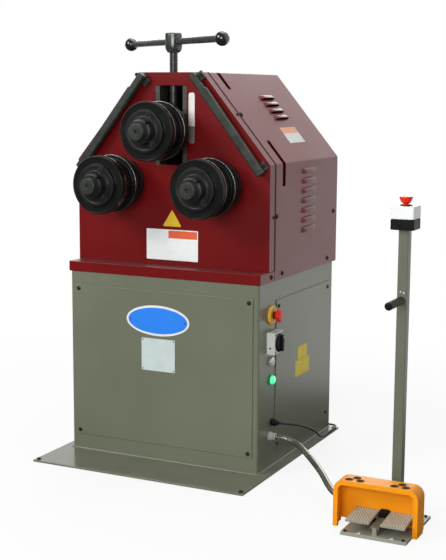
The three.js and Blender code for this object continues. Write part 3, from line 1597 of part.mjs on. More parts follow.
// Post with its grip, and the emergency-stop box on top.
function makePost() {
  const half = POST_SIZE / 2;
  const postY = STATION_FRONT + BASE_DEPTH - POST_INSET;
  const post = groupAt(STATION_X, postY, 0);
  const low = BASE_THICK + FIT;
  const top = low + POST_HEIGHT;
  place(
    'station_post',
    weld(prismZ(roundedRectangle(-half, -half, half, half, POST_CORNER), low, top)),
    oliveGreen,
    post,
  );
  place(
    'station_grip',
    weld(
      turnedY(
        [
          [0, -half - FIT - GRIP_LENGTH],
          [GRIP_RADIUS - 4, -half - FIT - GRIP_LENGTH],
          [GRIP_RADIUS, -half - FIT - GRIP_LENGTH + 5],
          [GRIP_RADIUS, -half - FIT - 14],
          [GRIP_RADIUS - 2.5, -half - FIT - 6],
          [GRIP_RADIUS - 2.5, -half - FIT],
          [0, -half - FIT],
        ],
        20,
      ),
    ).translate(0, 0, GRIP_HEIGHT),
    blackPlastic,
    post,
  );

  const halfBox = BOX_SIZE / 2;
  const boxLow = top + FIT;
  const lidLow = boxLow + BOX_BASE_HEIGHT + FIT;
  const lidTop = lidLow + BOX_LID_HEIGHT;
  const outline = roundedRectangle(-halfBox, -halfBox, halfBox, halfBox, BOX_CORNER);
  place('station_box', weld(prismZ(outline, boxLow, boxLow + BOX_BASE_HEIGHT)), blackPlastic, post);
  const stemBore = STATION_STEM_RADIUS + RUN;
  place(
    'station_lid',
    carve(prismZ(outline, lidLow, lidTop), [
      rodZ(stemBore, lidTop - STATION_STEM_DEPTH - 6, lidTop + 1, 20),
    ]),
    whitePlastic,
    post,
  );
  const headLow = lidTop + STATION_HEAD_STAND_OFF;
  place(
    'station_estop',
    weld(
      turnedZ(
        [
          [0, lidTop - STATION_STEM_DEPTH],
          [STATION_STEM_RADIUS, lidTop - STATION_STEM_DEPTH],
          [STATION_STEM_RADIUS, lidTop + 6],
          [STATION_HEAD_RADIUS - 6, headLow],
          [STATION_HEAD_RADIUS, headLow + 3],
          [STATION_HEAD_RADIUS, headLow + STATION_HEAD_THICK - 4],
          [STATION_HEAD_RADIUS - 4, headLow + STATION_HEAD_THICK - 1],
          [0, headLow + STATION_HEAD_THICK],
        ],
        20,
      ),
    ),
    redPlastic,
    post,
  );
}

makeCabinet();
makeTray();
makeFrontPlate();
makeCover();
makeLowerRollers();
makeUpperSlide();
makeFeedScrew();
makeGuideBars();
makeDrive();
makeControls();
makeConduit();
makeMainsCable();
makePedals();
makeGuard();
makePost();

export default ringRoller;
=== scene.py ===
"""Ring roller: a dark red head with three grooved rollers on a steel cabinet, and a pedal station."""

import json
from math import atan2, cos, pi, radians, sin, sqrt

import bmesh
import bpy
from mathutils import Matrix, Vector

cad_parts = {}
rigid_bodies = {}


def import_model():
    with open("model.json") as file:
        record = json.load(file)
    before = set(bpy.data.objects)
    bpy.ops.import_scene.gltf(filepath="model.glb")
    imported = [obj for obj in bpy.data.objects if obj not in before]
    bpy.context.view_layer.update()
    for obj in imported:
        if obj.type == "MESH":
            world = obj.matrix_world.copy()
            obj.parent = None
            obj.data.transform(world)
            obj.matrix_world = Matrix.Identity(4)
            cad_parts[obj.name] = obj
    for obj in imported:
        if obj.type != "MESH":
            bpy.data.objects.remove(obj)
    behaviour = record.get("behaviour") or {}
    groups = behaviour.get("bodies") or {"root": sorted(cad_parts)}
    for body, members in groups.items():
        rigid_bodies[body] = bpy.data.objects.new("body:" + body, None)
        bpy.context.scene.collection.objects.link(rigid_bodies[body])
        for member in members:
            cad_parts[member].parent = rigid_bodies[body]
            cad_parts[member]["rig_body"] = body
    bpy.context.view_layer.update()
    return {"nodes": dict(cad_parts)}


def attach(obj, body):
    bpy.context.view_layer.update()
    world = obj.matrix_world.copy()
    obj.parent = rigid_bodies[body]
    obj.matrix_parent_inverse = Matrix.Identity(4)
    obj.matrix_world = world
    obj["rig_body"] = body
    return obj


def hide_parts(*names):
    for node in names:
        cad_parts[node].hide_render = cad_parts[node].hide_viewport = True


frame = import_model()

# Camera
# It stands to the front right of the machine, 3.9 m away and a little lower than the top of
# its head, with a long lens, as the photograph does.
EYE = Vector((1.7682275, -3.4272473, 1.16167))
YAW, PITCH, ROLL = 0.4515418, 0.15673, 0.0058938
FOCAL_PIXELS = 1202.8156
FRAME_PIXELS = 560
FILM = 36
UP = Vector((0, 0, 1))


def stand(centre, across, up, out):
    """The place at centre whose local X, Y and Z lie along across, up and out."""
    return Matrix.Translation(Vector(centre)) @ Matrix((across, up, out)).transposed().to_4x4()


level = Vector((-sin(YAW), cos(YAW), 0))
right = Vector((cos(YAW), sin(YAW), 0))
ahead = level * cos(PITCH) - UP * sin(PITCH)
above = UP * cos(PITCH) + level * sin(PITCH)
image_right = right * cos(ROLL) + above * sin(ROLL)
image_up = above * cos(ROLL) - right * sin(ROLL)

lens = bpy.data.cameras.new("photo_camera")
lens.sensor_width = FILM
lens.lens = FOCAL_PIXELS * FILM / FRAME_PIXELS
lens.clip_end = 60
camera = bpy.data.objects.new("photo_camera", lens)
camera.matrix_world = stand(EYE, image_right, image_up, -ahead)
bpy.context.scene.collection.objects.link(camera)
bpy.context.scene.camera = camera

# Floor plate
# A steel plate 6 mm thick under the cabinet, painted with it, with a bolt near each corner
# and dust on its flat top. The cabinet is welded on with a bead all round.
MM = 0.001


def srgb(red, green, blue):
    """The linear colour of a colour written as 0 to 255."""
    parts = []
    for value in (red, green, blue):
        share = value / 255
        parts.append(share / 12.92 if share <= 0.04045 else ((share + 0.055) / 1.055) ** 2.4)
    return (*parts, 1)


def new_group(name, inputs, outputs):
    """An empty node group with its sockets; a number makes a value socket, a colour a colour socket."""
    tree = bpy.data.node_groups.new(name, "ShaderNodeTree")
    for label, start in inputs.items():
        kind = "NodeSocketFloat" if isinstance(start, (int, float)) else "NodeSocketColor"
        socket = tree.interface.new_socket(name=label, in_out="INPUT", socket_type=kind)
        socket.default_value = start
    for label, kind in outputs.items():
        tree.interface.new_socket(name=label, in_out="OUTPUT", socket_type="NodeSocket" + kind)
    return tree, tree.nodes.new("NodeGroupInput"), tree.nodes.new("NodeGroupOutput")


def wire(tree, source, target):
    """Links two sockets; a plain number or colour is set on the target instead."""
    if isinstance(source, bpy.types.NodeSocket):
        tree.links.new(source, target)
    else:
        target.default_value = source


def math_node(tree, operation, *terms):
    """A Math node and its result."""
    node = tree.nodes.new("ShaderNodeMath")
    node.operation = operation
    for term, socket in zip(terms, node.inputs):
        wire(tree, term, socket)
    return node.outputs[0]


def vector_node(tree, operation, *terms):
    """A Vector Math node that gives a number, and its result."""
    node = tree.nodes.new("ShaderNodeVectorMath")
    node.operation = operation
    for term, socket in zip(terms, node.inputs):
        wire(tree, term, socket)
    return node.outputs["Value"]


def split_node(tree, place):
    """The X, Y and Z of a vector socket."""
    node = tree.nodes.new("ShaderNodeSeparateXYZ")
    wire(tree, place, node.inputs[0])
    return node.outputs


def mix_node(tree, share, first, second, way="MIX"):
    """A colour Mix node and its result."""
    node = tree.nodes.new("ShaderNodeMix")
    node.data_type = "RGBA"
    node.blend_type = way
    wire(tree, share, node.inputs[0])
    wire(tree, first, node.inputs[6])
    wire(tree, second, node.inputs[7])
    return node.outputs[2]


def noise_node(tree, place, scale, detail=3.0):
    """Noise over a place socket; its value."""
    noise = tree.nodes.new("ShaderNodeTexNoise")
    wire(tree, place, noise.inputs["Vector"])
    wire(tree, scale, noise.inputs["Scale"])
    noise.inputs["Detail"].default_value = detail
    return noise.outputs["Fac"]


def spread_node(tree, value, low, high, start, end):
    """A Map Range node and its result."""
    node = tree.nodes.new("ShaderNodeMapRange")
    for socket, amount in zip(node.inputs[:5], (value, low, high, start, end)):
        wire(tree, amount, socket)
    return node.outputs[0]


def object_place(tree):
    return tree.nodes.new("ShaderNodeTexCoord").outputs["Object"]


# Sprayed paint: slow patches in its colour and gloss, and fine orange peel.
tree, given, made = new_group(
    "sprayed_paint",
    {"Colour": (0.2, 0.2, 0.2, 1), "Patches": 0.12, "Roughness": 0.4, "Peel Size": 420.0},
    {"Colour": "Color", "Roughness": "Float", "Height": "Float"},
)
place = object_place(tree)
cloud = noise_node(tree, place, 2.6, 4)
speck = noise_node(tree, place, 160, 2)
slow, fine = math_node(tree, "MULTIPLY", cloud, 0.8), math_node(tree, "MULTIPLY", speck, 0.2)
swing = spread_node(tree, math_node(tree, "ADD", slow, fine), 0.3, 0.7, -1, 1)
strength = math_node(tree, "MULTIPLY_ADD", swing, given.outputs["Patches"], 1.0)
wire(tree, mix_node(tree, 1.0, given.outputs["Colour"], strength, "MULTIPLY"), made.inputs["Colour"])
matt = spread_node(tree, cloud, 0.3, 0.7, -0.05, 0.05)
wire(tree, math_node(tree, "ADD", given.outputs["Roughness"], matt), made.inputs["Roughness"])
wire(tree, noise_node(tree, place, given.outputs["Peel Size"], 1), made.inputs["Height"])

# Edge wear and highlight: 1 where a corner turns within the given radius, broken up by noise.
# Where it lightens machined steel on the guide bars and rollers, it is painted highlight as well as wear.
tree, given, made = new_group("edge_wear_and_highlight", {"Reach": 0.0012, "Amount": 0.5}, {"Mask": "Float"})
corner = tree.nodes.new("ShaderNodeBevel")
corner.samples = 4
wire(tree, given.outputs["Reach"], corner.inputs["Radius"])
flat = tree.nodes.new("ShaderNodeNewGeometry")
turned = vector_node(tree, "DOT_PRODUCT", corner.outputs[0], flat.outputs["Normal"])
bent = spread_node(tree, turned, 0.985, 0.8, 0, 1)
broken = spread_node(tree, noise_node(tree, object_place(tree), 90, 4), 0.4, 0.62, 0.15, 1)
worn = math_node(tree, "MULTIPLY", bent, broken)
wire(tree, math_node(tree, "MULTIPLY", worn, given.outputs["Amount"]), made.inputs["Mask"])

# Settled dust: on faces that look up, thicker in drifts.
tree, given, made = new_group("settled_dust", {"Amount": 0.3}, {"Mask": "Float"})
normal = split_node(tree, tree.nodes.new("ShaderNodeNewGeometry").outputs["Normal"])
upward = spread_node(tree, normal["Z"], 0.7, 0.98, 0, 1)
drift = spread_node(tree, noise_node(tree, object_place(tree), 9, 5), 0.35, 0.7, 0.25, 1)
lying = math_node(tree, "MULTIPLY", upward, drift)
wire(tree, math_node(tree, "MULTIPLY", lying, given.outputs["Amount"]), made.inputs["Mask"])

DUST = srgb(178, 174, 160)


def finish(name, slot, colour, **sockets):
    """A material whose Principled shader has these plain values; their names use _ for
    a space. Its slot is not used."""
    material = bpy.data.materials.new(name)
    material.use_nodes = True
    shader = material.node_tree.nodes["Principled BSDF"]
    shader.inputs["Base Color"].default_value = colour
    for label, value in sockets.items():
        shader.inputs[label.replace("_", " ")].default_value = value
    return material, material.node_tree, shader


def effect(tree, group, **inputs):
    """A node group placed in a material with its own values."""
    node = tree.nodes.new("ShaderNodeGroup")
    node.node_tree = bpy.data.node_groups[group]
    for label, value in inputs.items():
        wire(tree, value, node.inputs[label])
    return node.outputs


def raise_grain(tree, shader, height, depth, strength=0.3):
    """Puts a height into the shader's normal; depth is in metres."""
    bump = tree.nodes.new("ShaderNodeBump")
    bump.inputs["Strength"].default_value = strength
    bump.inputs["Distance"].default_value = depth
    wire(tree, height, bump.inputs["Height"])
    wire(tree, bump.outputs[0], shader.inputs["Normal"])


def paler(colour, gain):
    """The colour of a thinner coat, as on a rubbed edge."""
    return tuple(min(1, c * gain + 0.03) for c in colour[:3]) + (1,)


def painted(name, slot, colour, roughness=0.35, coat=0.0, patches=0.1, dust=0.15, wear=0.35,
            worn_to=None, specular=0.5):
    """Sprayed enamel, a little thin along the edges, with dust on what faces up."""
    material, tree, shader = finish(name, slot, colour, Specular_IOR_Level=specular,
                                    Coat_Weight=coat, Coat_Roughness=0.18)
    paint = effect(tree, "sprayed_paint", Colour=colour, Patches=patches, Roughness=roughness)
    edge = effect(tree, "edge_wear_and_highlight", Amount=wear)
    dusty = effect(tree, "settled_dust", Amount=dust)
    rubbed = mix_node(tree, edge["Mask"], paint["Colour"], worn_to or paler(colour, 1.7))
    wire(tree, mix_node(tree, dusty["Mask"], rubbed, DUST), shader.inputs["Base Color"])
    wire(tree, paint["Roughness"], shader.inputs["Roughness"])
    raise_grain(tree, shader, paint["Height"], 0.0003, 0.12)
    return material


def settle(name, shape, material, body="machine", also=(), place=None, crease=38):
    """A bmesh in metres becomes a piece, smooth but for its creases, that rides on a body. One that
    is named as a CAD node stands for it, and for those in also, and rides on the node's body."""
    stands_for = ()
    if name in frame["nodes"]:
        stands_for = (name, *also)
        body = frame["nodes"][name]["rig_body"]
        name += "_finished"
    bmesh.ops.recalc_face_normals(shape, faces=shape.faces)
    mesh = bpy.data.meshes.new(name)
    shape.to_mesh(mesh)
    shape.free()
    for face in mesh.polygons:
        face.use_smooth = True
    mesh.set_sharp_from_angle(angle=radians(crease))
    mesh.materials.append(material)
    thing = bpy.data.objects.new(name, mesh)
    bpy.context.scene.collection.objects.link(thing)
    if place is not None:
        thing.matrix_world = place
    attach(thing, body)
    if stands_for:
        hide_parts(*stands_for)
    return thing


def bevel_edges(shape, edges, width, steps):
    """Bevels these edges by width mm."""
    bmesh.ops.bevel(shape, geom=edges, offset=width * MM, segments=steps, affect="EDGES",
                    clamp_overlap=True)


def softened(node, width, material, steps=2, fold=0):
    """A piece with the shape of a CAD node, its edges rounded by width mm and its folds by fold mm."""
    shape = bmesh.new()
    shape.from_mesh(frame["nodes"][node].data)
    bmesh.ops.remove_doubles(shape, verts=shape.verts, dist=1e-5)
    bmesh.ops.dissolve_limit(shape, angle_limit=radians(0.5), verts=shape.verts, edges=shape.edges)
    for low, high, size, parts in ((12, 60, fold, 4), (60 if fold else 22, 181, width, steps)):
        if size:
            shared = [e for e in shape.edges if len(e.link_faces) == 2]
            bends = [e for e in shared if radians(low) < e.calc_face_angle() < radians(high)]
            bevel_edges(shape, bends, size, parts)
    even = settle(node, shape, material).modifiers.new("even_shading", "WEIGHTED_NORMAL")
    even.keep_sharp = True


def add_loops(shape, loops, place=Matrix.Identity(4)):
    """Adds loops of points in mm to a bmesh in metres, with faces from each loop to the next and
    over both ends. A loop of one point is a tip, and a last loop equal to the first joins it."""
    closed = loops[0] == loops[-1]
    if closed:
        loops = loops[:-1]
    rings = [[shape.verts.new(place @ Vector(p) * MM) for p in loop] for loop in loops]
    for ring, after in zip(rings, rings[1:] + rings[:1] if closed else rings[1:]):
        for i in range(max(len(ring), len(after))):
            corners = (ring[i % len(ring)], ring[(i + 1) % len(ring)],
                       after[(i + 1) % len(after)], after[i % len(after)])
            corners = tuple(dict.fromkeys(corners))
            if len(corners) > 2:
                shape.faces.new(corners)
    if not closed:
        for ring in (rings[0], rings[-1]):
            if len(ring) > 2:
                shape.faces.new(ring)


def lathe(profile, sides=96):
    """Loops turned about local Z from (radius, height) in mm; a third number makes flats.
    A profile that ends where it starts is a ring."""
    loops = []
    for radius, height, *flats in profile:
        if radius < 1e-6:
            loops.append([(0, 0, height)])
            continue
        loop = []
        for i in range(sides):
            angle = 2 * pi * i / sides
            reach = radius
            if flats:
                part = 2 * pi / flats[0]
                reach = radius * cos(part / 2) / cos(angle % part - part / 2)
            loop.append((reach * cos(angle), reach * sin(angle), height))
        loops.append(loop)
    return loops


def aim(centre, out, spin=0.0):
    """The place at centre (mm) whose local Z points along out."""
    turn = Vector(out).to_track_quat("Z", "Y").to_matrix().to_4x4()
    return Matrix.Translation(Vector(centre)) @ turn @ Matrix.Rotation(spin, 4, "Z")


def four_corners(wide, deep):
    """The corners of a rectangle about zero, from half its sides."""
    return [(sx * wide, sy * deep) for sx in (-1, 1) for sy in (-1, 1)]


def hex_head(radius, height):
    """A hexagon head on a washer."""
    washer, lip = radius * 1.25, height * 0.2
    return lathe([(0, -2), (washer, -2), (washer, lip), (radius, lip), (radius, lip, 6),
                  (radius, height * 0.92, 6), (radius * 0.84, height), (0, height)], 24)


def screws(name, spots, head, material):
    """Screw heads at (centre, outward) spots as one piece."""
    shape = bmesh.new()
    for i, (centre, out) in enumerate(spots):
        add_loops(shape, head, aim(centre, out, 0.7 * i))
    settle(name, shape, material)


# Turned metal: fine rings about the piece's own axis, and a change of tone between passes.
tree, given, made = new_group("turning_marks", {"Pitch": 900.0}, {"Height": "Float", "Tone": "Float"})
spot = split_node(tree, object_place(tree))
squares = [math_node(tree, "MULTIPLY", spot[axis], spot[axis]) for axis in ("X", "Y")]
rings = tree.nodes.new("ShaderNodeCombineXYZ")
wire(tree, math_node(tree, "SQRT", math_node(tree, "ADD", *squares)), rings.inputs["X"])
wire(tree, spot["Z"], rings.inputs["Y"])
wire(tree, noise_node(tree, rings.outputs[0], given.outputs["Pitch"], 2), made.inputs["Height"])
wire(tree, noise_node(tree, rings.outputs[0], 70, 3), made.inputs["Tone"])


def machined(name, slot, colour, roughness=0.35, metallic=0.0, marks=0.25,
             bright=srgb(150, 152, 148), wear=0.5, specular=0.5, oily=0.0):
    """Turned or ground steel: tool marks, oily patches in its gloss and bright edges, which are wear and,
    on the guide bars and rollers, also painted highlight.
    """
    material, tree, shader = finish(name, slot, colour, Metallic=metallic,
                                    Specular_IOR_Level=specular, Coat_Weight=oily, Coat_Roughness=0.18)
    lines = effect(tree, "turning_marks")
    tone = spread_node(tree, lines["Tone"], 0.3, 0.7, 0.72, 1.28)
    smear = noise_node(tree, object_place(tree), 22, 4)
    scaled = mix_node(tree, 1.0, colour, tone, "MULTIPLY")
    edge = effect(tree, "edge_wear_and_highlight", Amount=wear, Reach=0.0009)
    wire(tree, mix_node(tree, edge["Mask"], scaled, bright), shader.inputs["Base Color"])
    gloss = spread_node(tree, smear, 0.3, 0.7, roughness - 0.08, roughness + 0.1)
    wire(tree, gloss, shader.inputs["Roughness"])
    raise_grain(tree, shader, lines["Height"], 0.0004, marks)
    return material


black_screw = machined("black_screw", "black_steel", srgb(32, 33, 30), 0.4, wear=0.4, specular=0.25)
cabinet_paint = painted("cabinet_paint", "olive_paint", srgb(113, 118, 98), 0.42, coat=0.32, dust=0.1)
plate_paint = painted("plate_paint", "plate_steel", srgb(113, 117, 99), 0.14, dust=0.1, wear=0.6)
PLATE_TOP, PLATE_BOLT_X, PLATE_BOLT_Y = 6, 352, 380
bolts = [((x, y, PLATE_TOP), UP) for x, y in four_corners(PLATE_BOLT_X, PLATE_BOLT_Y)]

softened("floor_plate", 1.2, plate_paint)
screws("floor_plate_bolts", bolts, hex_head(6, 5), black_screw)


def bead(name, box, z, radius, material):
    """A weld bead round the foot of a box (x0, y0, x1, y1 in mm): a round fillet with a ripple."""
    x0, y0, x1, y1 = box
    path = [Vector(p) for p in ((x0, y0, z), (x1, y0, z), (x1, y1, z), (x0, y1, z))]
    spots = []
    for start, end in zip(path, path[1:] + path[:1]):
        count = max(2, int((end - start).length / 7))
        spots += [start.lerp(end, i / count) for i in range(count)]
    angles = [pi * k / 6 - pi / 12 for k in range(7)]
    loops = []
    for i, spot in enumerate(spots):
        along = (spots[(i + 1) % len(spots)] - spots[i - 1]).normalized()
        out = along.cross(UP)
        size = radius * (1 + 0.25 * (i % 2))
        loops.append([spot + (out * cos(a) + UP * sin(a)) * size for a in angles])
    shape = bmesh.new()
    add_loops(shape, loops + loops[:1])
    settle(name, shape, material, crease=80)


bead("cabinet_weld", (-330, -215, 330, 390), PLATE_TOP, 3.2, cabinet_paint)

# Cabinet
# Folded from 3 mm sheet with its corners rounded, open front and right side covered by access
# panels that lap the openings and are held by screws. Painted olive green with satin gloss.
FRONTWARD, RIGHTWARD = Vector((0, -1, 0)), Vector((1, 0, 0))
FRONT_FACE = -217.8
SIDE_FACE = 332.8


def pan_head(radius, height):
    """A domed screw head with a cross recess cut shallow."""
    return lathe([(0, -2), (radius, -2), (radius, height * 0.35), (radius * 0.8, height * 0.8),
                  (radius * 0.42, height), (radius * 0.3, height * 0.45, 4), (0, height * 0.35)], 24)


softened("cabinet_body", 0, cabinet_paint, fold=1.5)
softened("front_access_panel", 0.9, cabinet_paint)
softened("right_access_panel", 0.9, cabinet_paint)
panel_spots = [((x, FRONT_FACE, z), FRONTWARD) for x in (-300, 298) for z in (69, 534)]
panel_spots += [((SIDE_FACE, y, z), RIGHTWARD) for y in (-72, 345) for z in (69, 506)]
screws("access_panel_screws", panel_spots, pan_head(6.6, 3.2), black_screw)

# Moulded plastic: fine even grain and a slight change of gloss.
tree, given, made = new_group(
    "moulded_grain",
    {"Grain": 1500.0, "Roughness": 0.45},
    {"Height": "Float", "Roughness": "Float"},
)
place = object_place(tree)
wire(tree, noise_node(tree, place, given.outputs["Grain"], 2), made.inputs["Height"])
flow = spread_node(tree, noise_node(tree, place, 18, 3), 0.3, 0.7, -0.06, 0.06)
wire(tree, math_node(tree, "ADD", flow, given.outputs["Roughness"]), made.inputs["Roughness"])


def moulded(name, slot, colour, roughness=0.45, **sockets):
    """Injection-moulded plastic with fine grain."""
    material, tree, shader = finish(name, slot, colour, **sockets)
    skin = effect(tree, "moulded_grain", Roughness=roughness)
    dusty = effect(tree, "settled_dust", Amount=0.08)
    edge = effect(tree, "edge_wear_and_highlight", Amount=0.25, Reach=0.001)
    rubbed = mix_node(tree, edge["Mask"], colour, paler(colour, 1.5))
    wire(tree, mix_node(tree, dusty["Mask"], rubbed, DUST), shader.inputs["Base Color"])
    wire(tree, skin["Roughness"], shader.inputs["Roughness"])
    raise_grain(tree, shader, skin["Height"], 0.0002, 0.25)
    return material


softened("control_box", 3, moulded("grey_plastic", "grey_plastic", srgb(172, 176, 170), 0.42))

# Badge, data plate and plates on the side
# The badge is an oval pressing with a raised white rim round a blue enamel field, on two
# pins. The data plate is pale coated aluminium on four rivets. The side's plates are plain
# yellow vinyl.


def facing(centre, out, up=UP):
    """The place at centre (mm) with local Z out of the surface and local Y along up."""
    return stand(centre, up.cross(out), up, out)


def slab(name, outline, depth, place, material, edge=0.4, body="machine"):
    """A thin plate: an outline in mm in local XY, standing depth mm along local Z, its rim set back
    in a step of edge mm."""
    shape = bmesh.new()
    foot = shape.faces.new([shape.verts.new(place @ Vector((x, y, 0)) * MM) for x, y in outline])
    top = bmesh.ops.extrude_face_region(shape, geom=[foot])
    moved = [v for v in top["geom"] if isinstance(v, bmesh.types.BMVert)]
    push = place.to_3x3() @ Vector((0, 0, depth)) * MM
    bmesh.ops.translate(shape, vec=push, verts=moved)
    if edge:
        bevel_edges(shape, [e for e in shape.edges if all(v in moved for v in e.verts)], edge, 2)
    settle(name, shape, material, body)


def oval(width, height, count=96):
    angles = [2 * pi * i / count for i in range(count)]
    return [(width / 2 * cos(a), height / 2 * sin(a)) for a in angles]


def rectangle(x0, y0, x1, y1, corner=3.0, count=5):
    """A rectangle with round corners, as a list of points."""
    points = []
    for x, y, start in ((x1 - corner, y0 + corner, -90), (x1 - corner, y1 - corner, 0),
                        (x0 + corner, y1 - corner, 90), (x0 + corner, y0 + corner, 180)):
        for k in range(count + 1):
            angle = radians(start + 90 * k / count)
            points.append((x + corner * cos(angle), y + corner * sin(angle)))
    return points


def vinyl(name, slot, colour, roughness=0.4, second=None, split_at=0.0, coat=0.25):
    """A stuck-on plate with a faint print texture; second colours what lies above split_at (m)."""
    material, tree, shader = finish(name, slot, colour, Coat_Weight=coat, Coat_Roughness=0.2)
    place = object_place(tree)
    tone = spread_node(tree, noise_node(tree, place, 35, 4), 0.3, 0.7, 0.96, 1.03)
    base = colour
    if second:
        upper = spread_node(tree, split_node(tree, place)["Z"], split_at - 1e-4, split_at + 1e-4, 0, 1)
        base = mix_node(tree, upper, colour, second)
    wire(tree, mix_node(tree, 1.0, base, tone, "MULTIPLY"), shader.inputs["Base Color"])
    grain = noise_node(tree, place, 900, 2)
    gloss = spread_node(tree, grain, 0.3, 0.7, roughness - 0.05, roughness + 0.08)
    wire(tree, gloss, shader.inputs["Roughness"])
    raise_grain(tree, shader, grain, 0.0001, 0.2)
    return material


badge_blue = vinyl("badge_blue", "white_plastic", srgb(40, 136, 248), 0.3)
badge_white = vinyl("badge_white", "white_plastic", srgb(236, 240, 240), 0.35)
rivet_steel = machined("rivet_steel", "zinc", srgb(170, 172, 168), 0.3, 1.0)
plate_aluminium = vinyl("plate_aluminium", "zinc", srgb(205, 219, 218), 0.42)
plate_yellow = vinyl("plate_yellow", "yellow_plastic", srgb(255, 232, 62), 0.55, coat=0.0)
plate_amber = vinyl("plate_amber", "yellow_plastic", srgb(255, 226, 46), 0.45, coat=0.0)
PIN = lathe([(0, -1), (2.6, -1), (2.6, 0.2), (1.8, 1.1), (0, 1.4)], 20)
BADGE_X, BADGE_Z, BADGE_WIDE, BADGE_HIGH, BADGE_RIM, PIN_REACH = -12, 453, 222, 96, 7, 95

place = facing((BADGE_X, FRONT_FACE, BADGE_Z), FRONTWARD)
slab("badge_rim", oval(BADGE_WIDE, BADGE_HIGH), 1.6, place, badge_white)
place = facing((BADGE_X, FRONT_FACE - 1.4, BADGE_Z), FRONTWARD)
slab("badge_field", oval(BADGE_WIDE - 2 * BADGE_RIM, BADGE_HIGH - 2 * BADGE_RIM), 1.0, place, badge_blue)
place = facing((0, FRONT_FACE, 0), FRONTWARD)
slab("data_plate", rectangle(-70, 293, 48, 396), 1.0, place, plate_aluminium)
pins = [((BADGE_X + s * PIN_REACH, FRONT_FACE - 2.3, BADGE_Z), FRONTWARD) for s in (-1, 1)]
screws("badge_pins", pins, PIN, black_screw)
rivets = [((x, FRONT_FACE - 1, z), FRONTWARD) for x in (-65, 43) for z in (298, 391)]
screws("data_plate_rivets", rivets, PIN, rivet_steel)
for name, (x0, y0, x1, y1) in (("upper", (87, 304, 165, 346)), ("lower", (70, 250, 186, 302))):
    place = facing((SIDE_FACE, 0, 0), RIGHTWARD)
    slab(f"side_plate_{name}", rectangle(x0, y0, x1, y1, 2), 0.4, place, plate_yellow, 0.15)
    place = facing((SIDE_FACE + 0.4, 0, 0), RIGHTWARD)
    inside = rectangle(x0 + 7, y0 + 7, x1 - 7, y1 - 7, 1)
    slab(f"side_plate_{name}_field", inside, 0.2, place, plate_amber, 0.1)

# Head: tray, front plate and cover
# The front plate is 40 mm steel with a window for the slide. A folded cover 3 mm thick closes
# the sides and shoulders behind it across a narrow seam, and a tray carries both. All are
# sprayed one dark red with more gloss than the cabinet.
BACKWARD = Vector((0, 1, 0))
HEAD_X, HEAD_FRONT, HEAD_BACK = 335, -155, 410
TRAY_TOP, SHOULDER_Z, HEAD_TOP, TOP_HALF = 620, 942, 1214, 108
head_paint = painted("head_paint", "red_paint", srgb(114, 11, 14), 0.32, coat=0.16, patches=0.08,
                     dust=0.1, wear=0.3, worn_to=srgb(150, 60, 58), specular=0.28)
softened("head_tray", 1.2, head_paint)
softened("front_plate", 1.2, head_paint)
softened("head_cover", 0.4, head_paint, fold=2.0)
softened("head_rear_cover", 0.5, head_paint)

SLOPE_ALONG = Vector((HEAD_X - TOP_HALF, 0, SHOULDER_Z - HEAD_TOP)).normalized()
SLOPE_OUT = Vector((-SLOPE_ALONG.z, 0, SLOPE_ALONG.x))


def on_shoulder(side, along, y, lift=0.0):
    """A point on the right (1) or left (-1) shoulder, along mm down its slope, with its directions."""
    spot = Vector((TOP_HALF, y, HEAD_TOP)) + SLOPE_ALONG * along + SLOPE_OUT * lift
    flip = Vector((side, 1, 1))
    return spot * flip, SLOPE_ALONG * flip, SLOPE_OUT * flip


def louvre(shape, start, across, up, out, length, lip=8.5, rise=17.0, drop=3.2):
    """A pressed hood over a slot: it springs from the sheet above, stands lip mm out and opens downward.
    start is the slot's near end at the middle of its height."""
    thick, sunk, taper = 1.3, 0.4, (0, 0.03, 0.065, 0.105, 0.15, 0.2)
    loops = []
    for share in [*taper, *(1 - s for s in reversed(taper))]:
        swell = max(0.05, sin(pi / 2 * min(share, 1 - share) / taper[-1]))
        outer, inner = [], []
        for k in range(7):
            angle = pi / 2 * k / 6
            height = rise * cos(angle) - drop
            inner.append((height, (lip - thick) * swell * sin(angle) - sunk))
            outer.append((height + thick * cos(angle), (lip * swell + sunk) * sin(angle) - sunk))
        foot = start + across * length * share
        loops.append([foot + up * height + out * reach for height, reach in outer + inner[::-1]])
    add_loops(shape, loops)


SIDE_HOODS, SIDE_FIRST, SIDE_PITCH, SIDE_START, SIDE_LONG = 7, 37, 31, 249, 118
SLOPE_HOODS, SLOPE_FIRST, SLOPE_PITCH, SLOPE_START, SLOPE_LONG = 4, 104, 27, 278, 108
REAR_HOODS, REAR_FIRST, REAR_PITCH, REAR_MIDDLE, REAR_LONG = 6, 303, 26, 110, 90
REAR_FACE = HEAD_BACK - 3
hoods = bmesh.new()
for side in (-1, 1):
    for i in range(SIDE_HOODS):
        z = SHOULDER_Z - SIDE_FIRST - SIDE_PITCH * i
        start = Vector((side * HEAD_X, HEAD_FRONT + SIDE_START, z))
        louvre(hoods, start, BACKWARD, UP, Vector((side, 0, 0)), SIDE_LONG)
    for i in range(SLOPE_HOODS):
        start, along, out = on_shoulder(side, SLOPE_FIRST + SLOPE_PITCH * i, HEAD_FRONT + SLOPE_START)
        louvre(hoods, start, BACKWARD, -along, out, SLOPE_LONG, lip=9.5, rise=15)
    for i in range(REAR_HOODS):
        z = TRAY_TOP + REAR_FIRST + REAR_PITCH * i
        start = Vector((side * REAR_MIDDLE - REAR_LONG / 2, REAR_FACE, z))
        louvre(hoods, start, RIGHTWARD, UP, BACKWARD, REAR_LONG, lip=8, rise=15, drop=6)
settle("cover_louvres", hoods, head_paint, crease=50)
